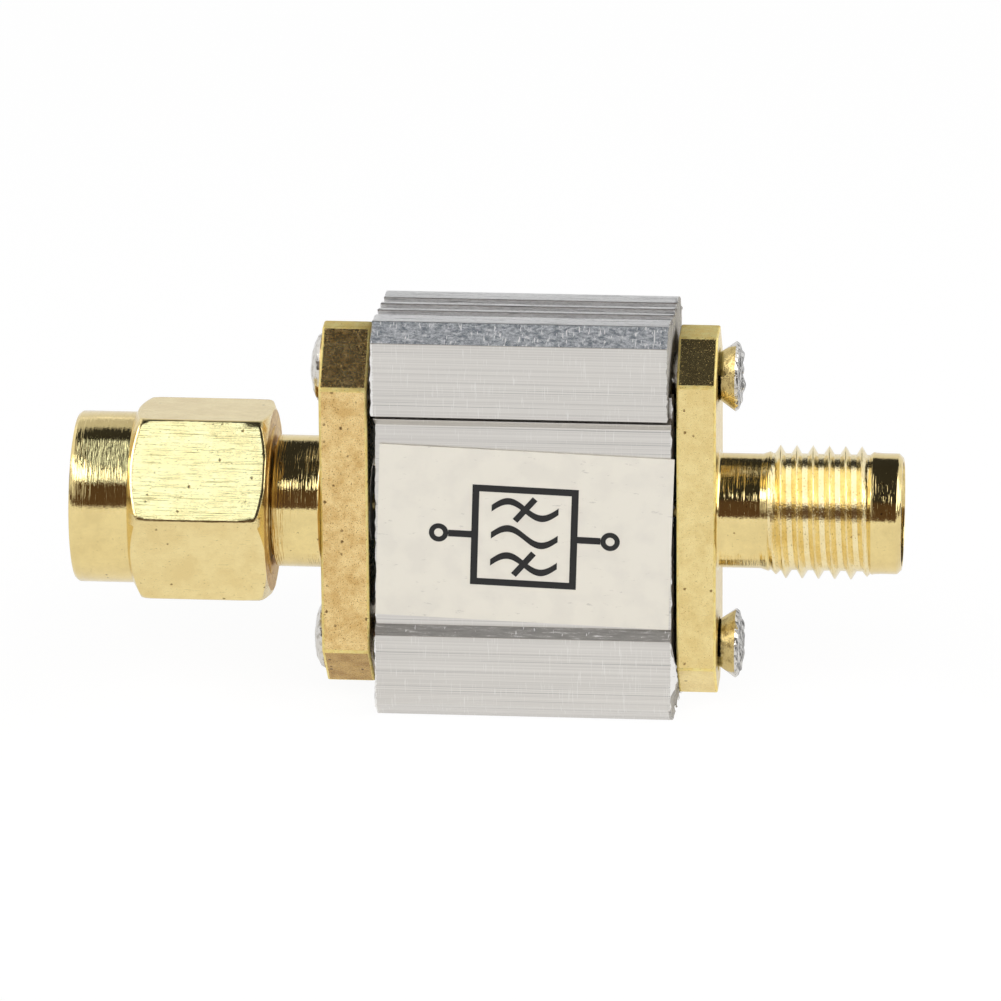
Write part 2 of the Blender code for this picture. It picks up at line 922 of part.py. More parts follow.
def main():
    clear_scene()
    axis = bpy.data.objects.new("connector_axis", None)
    axis.location = (0, 0, axis_height)
    bpy.context.scene.collection.objects.link(axis)
    looks = {
        "aluminium": make_material("mill_aluminium", (0.72, 0.71, 0.70), 0.38, 1.0),
        "gold": make_material("gold_plated_brass", (0.83, 0.64, 0.30), 0.25, 1.0),
        "steel": make_material("nickel_plated_steel", (0.66, 0.65, 0.62), 0.25, 1.0),
        "paper": make_material("coated_label", (0.80, 0.79, 0.75), 0.45, 0.0),
        "ptfe": make_material("ptfe", (0.92, 0.92, 0.90), 0.55, 0.0),
        "rubber": make_material("silicone_rubber", (0.55, 0.12, 0.06), 0.70, 0.0),
        "board": make_material("solder_mask", (0.01, 0.10, 0.05), 0.35, 0.0),
        "ceramic": make_material("white_ceramic", (0.82, 0.80, 0.76), 0.50, 0.0),
        "ferrite": make_material("ferrite", (0.07, 0.07, 0.08), 0.60, 0.0),
        "chip_brown": make_material("chip_ceramic", (0.42, 0.28, 0.16), 0.50, 0.0),
        "solder": make_material("tin_solder", (0.70, 0.70, 0.71), 0.30, 1.0),
    }
    build_shells(axis, looks["aluminium"])
    build_label(axis, looks["paper"])
    for turned_piece in (
        build_male_body(axis, looks["gold"]),
        build_female_body(axis, looks["gold"]),
        build_coupling_nut(axis, looks["gold"]),
        build_snap_ring(axis, looks["steel"]),
    ):
        round_off(turned_piece)
    build_gasket(axis, looks["rubber"])
    build_insulators(axis, looks["ptfe"])
    build_conductors(axis, looks["gold"])
    build_screws(axis, looks["steel"])
    build_board(axis, looks["board"])
    build_board_parts(axis, looks)
    build_pin_joints(axis, looks["solder"])
    build_ground_joints(axis, looks["solder"])


main()
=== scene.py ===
import math

import bmesh
import bpy
from mathutils import Matrix, Vector, noise


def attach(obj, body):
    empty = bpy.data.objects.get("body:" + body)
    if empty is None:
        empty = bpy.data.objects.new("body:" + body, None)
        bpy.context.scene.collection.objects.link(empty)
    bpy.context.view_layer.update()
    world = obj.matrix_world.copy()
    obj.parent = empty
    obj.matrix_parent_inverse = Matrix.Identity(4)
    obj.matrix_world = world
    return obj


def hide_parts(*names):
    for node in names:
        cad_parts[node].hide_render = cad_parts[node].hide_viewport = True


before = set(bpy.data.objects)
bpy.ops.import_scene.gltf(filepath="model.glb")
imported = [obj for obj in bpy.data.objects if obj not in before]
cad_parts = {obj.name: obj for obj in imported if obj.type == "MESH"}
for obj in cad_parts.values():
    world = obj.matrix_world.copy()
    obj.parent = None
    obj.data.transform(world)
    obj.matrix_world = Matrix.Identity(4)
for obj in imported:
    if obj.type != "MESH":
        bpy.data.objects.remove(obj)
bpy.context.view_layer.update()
print("frame loaded:", len(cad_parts), "nodes")

# Sizes are in mm: x as in the frame, y and z (or a radius) from the connectors' common axis
stations = {
    "axisHeight": 9.05,
    "maleOuter": -7.14,
    "maleInner": -5.04,
    "femaleInner": 8.44,
    "femaleOuter": 10.14,
    "nutRear": -9.34,
    "screwRise": 6.16,
}


def linearColour(code):  # sRGB hex to linear values
    parts = [int(code[start:start + 2], 16) / 255 for start in (1, 3, 5)]
    linear = [part / 12.92 if part <= 0.04045 else ((part + 0.055) / 1.055) ** 2.4 for part in parts]
    return (*linear, 1.0)


def startMaterial(name):
    material = bpy.data.materials.new(name)
    material.use_nodes = True
    return material, material.node_tree, material.node_tree.nodes["Principled BSDF"]


def addNode(tree, kind, values=None, links=None, **settings):
    node = tree.nodes.new(kind)
    for name, value in settings.items():
        if name == "stops":  # a colour ramp's places and colours
            ramp = node.color_ramp
            while len(ramp.elements) < len(value):
                ramp.elements.new(0.5)
            for element, (spot, colour) in zip(ramp.elements, value):
                element.position = spot
                element.color = colour if isinstance(colour, tuple) else (colour, colour, colour, 1.0)
        else:
            setattr(node, name, value)
    for name, value in (values or {}).items():
        node.inputs[name].default_value = value
    for name, source in (links or {}).items():
        tree.links.new(source, node.inputs[name])
    return node


def scaledTo(*sizes):  # a Mapping scale that makes one unit of pattern this many mm along x, y, z
    return tuple(1000.0 / size for size in sizes)


def extrudedAluminium(name, look):
    # Mill-finish 6063 extrusion: faint die lines run along it, with a few deeper scratches, and the sawn ends are
    # nicked, their rims brightened with a painted highlight
    look = {
        "nickHighlight": "#F8F7F4", "grain": 0.09, "grainDepth": 0.0016,
        "middle": 1.655, "halfLength": 6.44, "nickHighlightReach": 0.10, **look,
    }
    material, tree, shader = startMaterial(name)
    spot = addNode(tree, "ShaderNodeTexCoord").outputs["Object"]
    lines = addNode(
        tree, "ShaderNodeMapping",
        {"Scale": scaledTo(look["lineLength"], look["dieLine"], look["dieLine"])}, {"Vector": spot},
    )
    dieLines = addNode(
        tree, "ShaderNodeTexNoise", {"Scale": 1.0, "Detail": 4.0, "Roughness": 0.7}, {"Vector": lines.outputs[0]},
    )
    scratchSpace = addNode(
        tree, "ShaderNodeMapping",
        {"Scale": scaledTo(look["scratchLength"], look["scratchWidth"], look["scratchWidth"])}, {"Vector": spot},
    )
    scratches = addNode(
        tree, "ShaderNodeTexNoise", {"Scale": 1.0, "Detail": 2.0, "Roughness": 0.5}, {"Vector": scratchSpace.outputs[0]},
    )
    grainSpace = addNode(
        tree, "ShaderNodeMapping", {"Scale": scaledTo(look["grain"] * 1.6, look["grain"], look["grain"])}, {"Vector": spot},
    )
    grain = addNode(
        tree, "ShaderNodeTexNoise", {"Scale": 1.0, "Detail": 3.0, "Roughness": 0.6}, {"Vector": grainSpace.outputs[0]},
    )
    patchSpace = addNode(tree, "ShaderNodeMapping", {"Scale": scaledTo(4.0, 1.1, 1.1)}, {"Vector": spot})
    patches = addNode(tree, "ShaderNodeTexNoise", {"Scale": 1.0, "Detail": 3.0}, {"Vector": patchSpace.outputs[0]})
    toned = addNode(
        tree, "ShaderNodeValToRGB", links={"Fac": dieLines.outputs["Fac"]},
        stops=[(0.40, linearColour(look["dull"])), (0.56, linearColour(look["metal"]))],
    )
    scratchMask = addNode(
        tree, "ShaderNodeValToRGB", links={"Fac": scratches.outputs["Fac"]},
        stops=[(look["scratchShare"] - 0.015, 0.55), (look["scratchShare"] + 0.006, 0.0)],
    )
    scratched = addNode(
        tree, "ShaderNodeMix", {"B": linearColour(look["scratch"])},
        {"Factor": scratchMask.outputs[0], "A": toned.outputs[0]}, data_type="RGBA",
    )
    # Bright nicks along both sawn ends, partly real nicks and partly a painted highlight on the sawn rims: distance
    # from the middle, made ragged by the grain
    apart = addNode(tree, "ShaderNodeSeparateXYZ", links={"Vector": spot})
    centred = addNode(tree, "ShaderNodeMath", {1: look["middle"] / 1000}, {0: apart.outputs["X"]}, operation="SUBTRACT")
    distance = addNode(tree, "ShaderNodeMath", links={0: centred.outputs[0]}, operation="ABSOLUTE")
    endZone = addNode(
        tree, "ShaderNodeMapRange",
        {
            "From Min": (look["halfLength"] - look["nickHighlightReach"]) / 1000, "From Max": look["halfLength"] / 1000,
            "To Min": 0.0, "To Max": 0.55,
        },
        {"Value": distance.outputs[0]},
    )
    ragged = addNode(tree, "ShaderNodeMath", links={0: endZone.outputs[0], 1: grain.outputs["Fac"]}, operation="ADD")
    nicks = addNode(tree, "ShaderNodeValToRGB", links={"Fac": ragged.outputs[0]}, stops=[(0.84, 0.0), (0.96, 1.0)])
    # Faint upright hatching from handling
    crossSpace = addNode(tree, "ShaderNodeMapping", {"Scale": scaledTo(0.045, 0.8, 0.8)}, {"Vector": spot})
    cross = addNode(tree, "ShaderNodeTexNoise", {"Scale": 1.0, "Detail": 2.0}, {"Vector": crossSpace.outputs[0]})
    hatch = addNode(tree, "ShaderNodeValToRGB", links={"Fac": cross.outputs["Fac"]}, stops=[(0.62, 0.0), (0.72, 0.5)])
    pale = addNode(tree, "ShaderNodeMath", links={0: nicks.outputs[0], 1: hatch.outputs[0]}, operation="MAXIMUM")
    colour = addNode(
        tree, "ShaderNodeMix", {"B": linearColour(look["nickHighlight"])},
        {"Factor": pale.outputs[0], "A": scratched.outputs["Result"]}, data_type="RGBA",
    )
    tree.links.new(colour.outputs["Result"], shader.inputs["Base Color"])
    rough = addNode(tree, "ShaderNodeMapRange", {"To Min": 0.28, "To Max": 0.42}, {"Value": patches.outputs["Fac"]})
    tree.links.new(rough.outputs[0], shader.inputs["Roughness"])
    shader.inputs["Metallic"].default_value = 1.0
    lineBump = addNode(
        tree, "ShaderNodeBump", {"Strength": 1.0, "Distance": look["lineDepth"] / 1000},
        {"Height": dieLines.outputs["Fac"]},
    )
    grainBump = addNode(
        tree, "ShaderNodeBump", {"Strength": 1.0, "Distance": look["grainDepth"] / 1000},
        {"Height": grain.outputs["Fac"], "Normal": lineBump.outputs[0]},
    )
    tree.links.new(grainBump.outputs[0], shader.inputs["Normal"])
    return material


def smoothFaces():  # The faces that the die drew cleanly
    return extrudedAluminium("mill finish aluminium", {
        "metal": "#E3E0DB", "dull": "#D5D2CD", "scratch": "#9C9B9B",
        "dieLine": 0.055, "lineLength": 50.0, "lineDepth": 0.0010,
        "scratchWidth": 0.055, "scratchLength": 30.0, "scratchShare": 0.335,
    })


def groovedFacesPaintedLight():  # The ribbed top and bottom, where the die dragged: strong light and dark streaks, on a tone raised to white as painted light on the ribs
    return extrudedAluminium("mill finish aluminium, ribs, painted light", {
        "metal": "#FFFFFF", "dull": "#ECECEC", "scratch": "#77787B",
        "dieLine": 0.085, "lineLength": 0.3, "lineDepth": 0.0020,
        "scratchWidth": 0.07, "scratchLength": 2.4, "scratchShare": 0.375,
    })


def scuffedAluminium(name, look):
    # The extrusion's slanted faces, scuffed by tumbling against others: dull, full of bright dents
    look = {"dent": "#FCFCFC", "nickSize": (0.085, 0.40, 0.40), **look}
    material, tree, shader = startMaterial(name)
    spot = addNode(tree, "ShaderNodeTexCoord").outputs["Object"]
    dentSpace = addNode(tree, "ShaderNodeMapping", {"Scale": scaledTo(*look["dentSize"])}, {"Vector": spot})
    dents = addNode(
        tree, "ShaderNodeTexNoise", {"Scale": 1.0, "Detail": 6.0, "Roughness": 0.8}, {"Vector": dentSpace.outputs[0]},
    )
    nickSpace = addNode(tree, "ShaderNodeMapping", {"Scale": scaledTo(*look["nickSize"])}, {"Vector": spot})
    nicks = addNode(tree, "ShaderNodeTexNoise", {"Scale": 1.0, "Detail": 1.0}, {"Vector": nickSpace.outputs[0]})
    toned = addNode(
        tree, "ShaderNodeValToRGB", links={"Fac": dents.outputs["Fac"]},
        stops=[(0.40, linearColour(look["dark"])), (0.55, linearColour(look["metal"])), (0.66, linearColour(look["dent"]))],
    )
    nickMask = addNode(
        tree, "ShaderNodeValToRGB", links={"Fac": nicks.outputs["Fac"]},
        stops=[(look["nickShare"], 0.0), (look["nickShare"] + 0.03, 1.0)],
    )
    colour = addNode(
        tree, "ShaderNodeMix", {"B": linearColour(look["dent"])},
        {"Factor": nickMask.outputs[0], "A": toned.outputs[0]}, data_type="RGBA",
    )
    tree.links.new(colour.outputs["Result"], shader.inputs["Base Color"])
    rough = addNode(tree, "ShaderNodeMapRange", {"To Min": 0.48, "To Max": 0.78}, {"Value": dents.outputs["Fac"]})
    tree.links.new(rough.outputs[0], shader.inputs["Roughness"])
    shader.inputs["Metallic"].default_value = 1.0
    bump = addNode(
        tree, "ShaderNodeBump", {"Strength": 1.0, "Distance": look["dentDepth"] / 1000}, {"Height": dents.outputs["Fac"]},
    )
    tree.links.new(bump.outputs[0], shader.inputs["Normal"])
    return material


def sawnAluminiumGapShade():
    # The same extrusion's cut ends: straight saw marks, brighter and rougher than the skin. Their grey is held darker
    # as painted shade of the narrow gap to the flange
    look = {"metal": "#D6D4D0", "mark": "#6B6966", "pitch": 0.10, "depth": 0.020}
    material, tree, shader = startMaterial("sawn aluminium, painted gap shade")
    spot = addNode(tree, "ShaderNodeTexCoord").outputs["Object"]
    space = addNode(tree, "ShaderNodeMapping", {"Scale": scaledTo(1.0, look["pitch"], 2.5)}, {"Vector": spot})
    marks = addNode(
        tree, "ShaderNodeTexNoise", {"Scale": 1.0, "Detail": 4.0, "Roughness": 0.7}, {"Vector": space.outputs[0]},
    )
    colour = addNode(
        tree, "ShaderNodeValToRGB", links={"Fac": marks.outputs["Fac"]},
        stops=[(0.35, linearColour(look["mark"])), (0.55, linearColour(look["metal"]))],
    )
    tree.links.new(colour.outputs[0], shader.inputs["Base Color"])
    rough = addNode(tree, "ShaderNodeMapRange", {"To Min": 0.85, "To Max": 1.0}, {"Value": marks.outputs["Fac"]})
    tree.links.new(rough.outputs[0], shader.inputs["Roughness"])
    shader.inputs["Metallic"].default_value = 1.0
    bump = addNode(
        tree, "ShaderNodeBump", {"Strength": 1.0, "Distance": look["depth"] / 1000}, {"Height": marks.outputs["Fac"]},
    )
    tree.links.new(bump.outputs[0], shader.inputs["Normal"])
    return material


def goldPlate(name, look):
    # Thin gold over brass: the plating follows every tool mark, so the light shows them, and pores go brown.
    # marks are the tool marks' size along x, y, z; grain is the fine texture; scratches and pores are drawn in brown
    material, tree, shader = startMaterial(name)
    spot = addNode(tree, "ShaderNodeTexCoord").outputs["Object"]
    centred = addNode(tree, "ShaderNodeMapping", {"Location": (0, 0, -stations["axisHeight"] / 1000)}, {"Vector": spot})

    def pattern(kind, sizes, **values):
        space = addNode(tree, "ShaderNodeMapping", {"Scale": scaledTo(*sizes)}, {"Vector": centred.outputs[0]})
        return addNode(tree, kind, {"Scale": 1.0, **values}, {"Vector": space.outputs[0]})

    def painted(base, mask, colour):
        layer = addNode(
            tree, "ShaderNodeMix", {"B": linearColour(look[colour])}, {"Factor": mask, "A": base}, data_type="RGBA",
        )
        return layer.outputs["Result"]

    marks = pattern("ShaderNodeTexNoise", look["marks"], Detail=3.0, Roughness=0.7)
    grain = pattern("ShaderNodeTexNoise", look["grain"], Detail=2.0, Roughness=0.6)
    mottle = pattern("ShaderNodeTexNoise", (look["mottle"],) * 3, Detail=6.0, Roughness=0.72)
    scratches = pattern("ShaderNodeTexNoise", look["scratches"], Detail=4.0, Roughness=0.7)
    # The cells that hold the pores are bent by the grain, so no pore is round
    bent = addNode(
        tree, "ShaderNodeVectorMath", {1: (0.00012,) * 3}, {0: grain.outputs["Color"]}, operation="MULTIPLY",
    )
    shifted = addNode(tree, "ShaderNodeVectorMath", links={0: centred.outputs[0], 1: bent.outputs[0]}, operation="ADD")
    poreSpace = addNode(
        tree, "ShaderNodeMapping", {"Scale": scaledTo(*(look["poreSpacing"],) * 3)}, {"Vector": shifted.outputs[0]},
    )
    pores = addNode(tree, "ShaderNodeTexVoronoi", {"Scale": 1.0}, {"Vector": poreSpace.outputs[0]})
    toned = addNode(
        tree, "ShaderNodeValToRGB", links={"Fac": mottle.outputs["Fac"]},
        stops=[(0.38, linearColour(look["deep"])), (0.60, linearColour(look["pale"]))],
    )
    speckMask = addNode(
        tree, "ShaderNodeValToRGB", links={"Fac": grain.outputs["Fac"]},
        stops=[(look["specks"] - 0.05, 0.8), (look["specks"] + 0.04, 0.0)],
    )
    scratchMask = addNode(
        tree, "ShaderNodeValToRGB", links={"Fac": scratches.outputs["Fac"]},
        stops=[(look["scratchShare"] - 0.025, look["scratchDepth"]), (look["scratchShare"] + 0.02, 0.0)],
    )
    # A pore sits in the middle of a few of the cells, chosen by the cell's own random colour
    nearPore = addNode(
        tree, "ShaderNodeValToRGB", links={"Fac": pores.outputs["Distance"]},
        stops=[(look["poreSize"] * 0.5, 0.9), (look["poreSize"], 0.0)],
    )
    cell = addNode(tree, "ShaderNodeSeparateColor", links={"Color": pores.outputs["Color"]})
    chosen = addNode(
        tree, "ShaderNodeMath", {1: 1.0 - look["poreShare"]}, {0: cell.outputs["Red"]}, operation="GREATER_THAN",
    )
    poreMask = addNode(
        tree, "ShaderNodeMath", links={0: nearPore.outputs[0], 1: chosen.outputs[0]}, operation="MULTIPLY",
    )
    colour = painted(toned.outputs[0], speckMask.outputs[0], "speck")
    colour = painted(colour, scratchMask.outputs[0], "speck")
    colour = painted(colour, poreMask.outputs[0], "pore")
    tree.links.new(colour, shader.inputs["Base Color"])
    rough = addNode(
        tree, "ShaderNodeMapRange", {"To Min": look["rough"][0], "To Max": look["rough"][1]},
        {"Value": marks.outputs["Fac"]},
    )
    # Frosted specks, which show as bright dots on the faces that mirror a dark room
    frost = addNode(
        tree, "ShaderNodeValToRGB", links={"Fac": grain.outputs["Fac"]},
        stops=[(look["frost"], 0.0), (look["frost"] + 0.05, 0.5)],
    )
    frosted = addNode(tree, "ShaderNodeMath", links={0: rough.outputs[0], 1: frost.outputs[0]}, operation="ADD")
    tree.links.new(frosted.outputs[0], shader.inputs["Roughness"])
    shader.inputs["Metallic"].default_value = 1.0
    markBump = addNode(
        tree, "ShaderNodeBump", {"Strength": 1.0, "Distance": look["markDepth"] / 1000},
        {"Height": marks.outputs["Fac"]},
    )
    grainBump = addNode(
        tree, "ShaderNodeBump", {"Strength": 1.0, "Distance": look["grainDepth"] / 1000},
        {"Height": grain.outputs["Fac"], "Normal": markBump.outputs[0]},
    )
    poreBump = addNode(
        tree, "ShaderNodeBump", {"Strength": 1.0, "Distance": look["poreDepth"] / 1000},
        {"Height": poreMask.outputs[0], "Normal": grainBump.outputs[0]}, invert=True,
    )
    tree.links.new(poreBump.outputs[0], shader.inputs["Normal"])
    return material


def turnedGold(name, look):  # Lathe-turned: fine rings round the axis, which flash where they catch a lamp
    return goldPlate(name, {
        "pale": "#F0DA9A", "deep": "#E5CE90", "speck": "#A88A4C", "specks": 0.28, "pore": "#8A6A34", "mottle": 1.6, "frost": 0.72,
        "poreSpacing": 0.42, "poreShare": 0.16, "poreSize": 0.15, "poreDepth": 0.004,
        "marks": (0.15, 4.0, 4.0), "markDepth": 0.036, "grain": (0.08, 0.12, 0.12), "grainDepth": 0.0038,
        "scratches": (0.07, 1.0, 1.0), "scratchShare": 0.32, "scratchDepth": 0.25,
        "rough": (0.07, 0.14), **look,
    })


def tanMilledGold(name, look):  # Male flange: milled, then tumbled and thinly plated, so it is sandy and full of pores
    return goldPlate(name, {
        "speck": "#8E6C3A", "specks": 0.365, "pore": "#5E4120", "mottle": 0.75, "frost": 0.61,
        "poreSpacing": 0.34, "poreShare": 0.18, "poreSize": 0.27, "poreDepth": 0.010,
        "marks": (0.26, 0.16, 0.16), "markDepth": 0.010, "grain": (0.065, 0.065, 0.065), "grainDepth": 0.0120,
        "scratches": (0.22, 0.09, 0.09), "scratchShare": 0.33, "scratchDepth": 0.30,
        "rough": (0.20, 0.34), **look,
    })


def paleMilledGold():  # Female flange: milled cleaner, with a few pores and faint cutter lines
    return goldPlate("gold plated brass, milled", {
        "pale": "#F5E0A0", "deep": "#E9D08E", "speck": "#B09456", "specks": 0.31, "pore": "#7C5C2C", "mottle": 1.1, "frost": 0.64,
        "poreSpacing": 0.38, "poreShare": 0.08, "poreSize": 0.22, "poreDepth": 0.008,
        "marks": (0.7, 0.12, 0.12), "markDepth": 0.006, "grain": (0.070, 0.060, 0.060), "grainDepth": 0.0095,
        "scratches": (0.5, 0.07, 0.07), "scratchShare": 0.33, "scratchDepth": 0.26,
        "rough": (0.18, 0.32),
    })


def drawnGold(name, look):  # Drawn hexagon bar: fine scratches along the bar on its flats
    return goldPlate(name, {
        "pale": "#F2DEA2", "deep": "#E8D194", "speck": "#8F7E4C", "specks": 0.29, "pore": "#7A6434", "mottle": 1.3,
        "poreSpacing": 0.45, "poreShare": 0.12, "poreSize": 0.16, "poreDepth": 0.006, "frost": 0.75,
        "marks": (1.6, 0.055, 0.055), "markDepth": 0.0042, "grain": (0.13, 0.07, 0.07), "grainDepth": 0.0042,
        "rough": (0.13, 0.22), **look,
    })


def wornEdgeHighlightGold():  # Edges that tumbling broke, and the flange's flat top: frosted, and painted pale as a painted highlight, so they show as a cream line
    return goldPlate("gold plated brass, worn edge, painted highlight", {
        "pale": "#FFF2B0", "deep": "#FAE496", "speck": "#A5874C", "specks": 0.33, "pore": "#7C5C2C", "mottle": 0.5,
        "poreSpacing": 0.38, "poreShare": 0.10, "poreSize": 0.2, "poreDepth": 0.004, "frost": 0.64,
        "marks": (0.3, 0.3, 0.3), "markDepth": 0.006, "grain": (0.07, 0.07, 0.07), "grainDepth": 0.008,
        "scratches": (0.2, 0.2, 0.2), "scratchShare": 0.33, "scratchDepth": 0.3,
        "rough": (0.62, 0.78),
    })


def nickelSteel():
    # Nickel-plated steel screws, burred by the driver: bright and a little warm; the torn places take the torn finish,
    # dark with painted shade
    look = {"metal": "#DDDAD4", "dull": "#A9A295", "dent": 0.30, "depth": 0.016}
    material, tree, shader = startMaterial("nickel plated steel")
    spot = addNode(tree, "ShaderNodeTexCoord").outputs["Object"]
    space = addNode(tree, "ShaderNodeMapping", {"Scale": scaledTo(look["dent"], look["dent"], look["dent"])}, {"Vector": spot})
    dents = addNode(
        tree, "ShaderNodeTexNoise", {"Scale": 1.0, "Detail": 3.0, "Roughness": 0.6}, {"Vector": space.outputs[0]},
    )
    colour = addNode(
        tree, "ShaderNodeValToRGB", links={"Fac": dents.outputs["Fac"]},
        stops=[(0.34, linearColour(look["dull"])), (0.50, linearColour(look["metal"]))],
    )
    tree.links.new(colour.outputs[0], shader.inputs["Base Color"])
    rough = addNode(tree, "ShaderNodeMapRange", {"To Min": 0.06, "To Max": 0.20}, {"Value": dents.outputs["Fac"]})
    tree.links.new(rough.outputs[0], shader.inputs["Roughness"])
    shader.inputs["Metallic"].default_value = 1.0
    bump = addNode(
        tree, "ShaderNodeBump", {"Strength": 1.0, "Distance": look["depth"] / 1000}, {"Height": dents.outputs["Fac"]},
    )
    tree.links.new(bump.outputs[0], shader.inputs["Normal"])
    return material


def labelPaper():
    # Coated label paper: warm white, weakly glossy, with rubbed grey smudges and a few specks of dirt
    look = {
        "paper": "#EBE7DB", "rubbed": "#E6E2D7", "smudge": "#C3BFB6", "smudgeSize": (0.7, 0.7, 0.2), "smudgeShare": 0.365,
        "mottle": 1.2, "rough": 0.46, "coat": 0.25, "coatRough": 0.32, "fibre": 0.10, "fibreDepth": 0.0012,
    }
    material, tree, shader = startMaterial("coated label paper")
    spot = addNode(tree, "ShaderNodeTexCoord").outputs["Object"]
    mottleSpace = addNode(tree, "ShaderNodeMapping", {"Scale": scaledTo(*(look["mottle"],) * 3)}, {"Vector": spot})
    mottle = addNode(tree, "ShaderNodeTexNoise", {"Scale": 1.0, "Detail": 4.0}, {"Vector": mottleSpace.outputs[0]})
    smudgeSpace = addNode(
        tree, "ShaderNodeMapping", {"Scale": scaledTo(*look["smudgeSize"]), "Rotation": (0, 0.5, 0)}, {"Vector": spot},
    )
    smudges = addNode(
        tree, "ShaderNodeTexNoise", {"Scale": 1.0, "Detail": 5.0, "Roughness": 0.7}, {"Vector": smudgeSpace.outputs[0]},
    )
    toned = addNode(
        tree, "ShaderNodeValToRGB", links={"Fac": mottle.outputs["Fac"]},
        stops=[(0.38, linearColour(look["rubbed"])), (0.55, linearColour(look["paper"]))],
    )
    smudgeMask = addNode(
        tree, "ShaderNodeValToRGB", links={"Fac": smudges.outputs["Fac"]},
        stops=[(look["smudgeShare"] - 0.05, 0.6), (look["smudgeShare"], 0.0)],
    )
    colour = addNode(
        tree, "ShaderNodeMix", {"B": linearColour(look["smudge"])},
        {"Factor": smudgeMask.outputs[0], "A": toned.outputs[0]}, data_type="RGBA",
    )
    tree.links.new(colour.outputs["Result"], shader.inputs["Base Color"])
    shader.inputs["Roughness"].default_value = look["rough"]
    shader.inputs["Coat Weight"].default_value = look["coat"]
    shader.inputs["Coat Roughness"].default_value = look["coatRough"]
    fibreSpace = addNode(tree, "ShaderNodeMapping", {"Scale": scaledTo(*(look["fibre"],) * 3)}, {"Vector": spot})
    fibre = addNode(tree, "ShaderNodeTexNoise", {"Scale": 1.0, "Detail": 2.0}, {"Vector": fibreSpace.outputs[0]})
    bump = addNode(
        tree, "ShaderNodeBump", {"Strength": 1.0, "Distance": look["fibreDepth"] / 1000}, {"Height": fibre.outputs["Fac"]},
    )
    tree.links.new(bump.outputs[0], shader.inputs["Normal"])
    return material


def plainFinish(name, look):
    # A procedural finish for the small inner pieces: two tones, a grain and a bump at their real size
    material, tree, shader = startMaterial(name)
    spot = addNode(tree, "ShaderNodeTexCoord").outputs["Object"]
    space = addNode(tree, "ShaderNodeMapping", {"Scale": scaledTo(*look["grain"])}, {"Vector": spot})
    grain = addNode(
        tree, "ShaderNodeTexNoise", {"Scale": 1.0, "Detail": 4.0, "Roughness": 0.6}, {"Vector": space.outputs[0]},
    )
    colour = addNode(
        tree, "ShaderNodeValToRGB", links={"Fac": grain.outputs["Fac"]},
        stops=[(0.35, linearColour(look["dark"])), (0.65, linearColour(look["light"]))],
    )
    tree.links.new(colour.outputs[0], shader.inputs["Base Color"])
    rough = addNode(
        tree, "ShaderNodeMapRange", {"To Min": look["rough"][0], "To Max": look["rough"][1]},
        {"Value": grain.outputs["Fac"]},
    )
    tree.links.new(rough.outputs[0], shader.inputs["Roughness"])
    shader.inputs["Metallic"].default_value = look.get("metallic", 0.0)
    bump = addNode(
        tree, "ShaderNodeBump", {"Strength": 1.0, "Distance": look["depth"] / 1000}, {"Height": grain.outputs["Fac"]},
    )
    tree.links.new(bump.outputs[0], shader.inputs["Normal"])
    return material


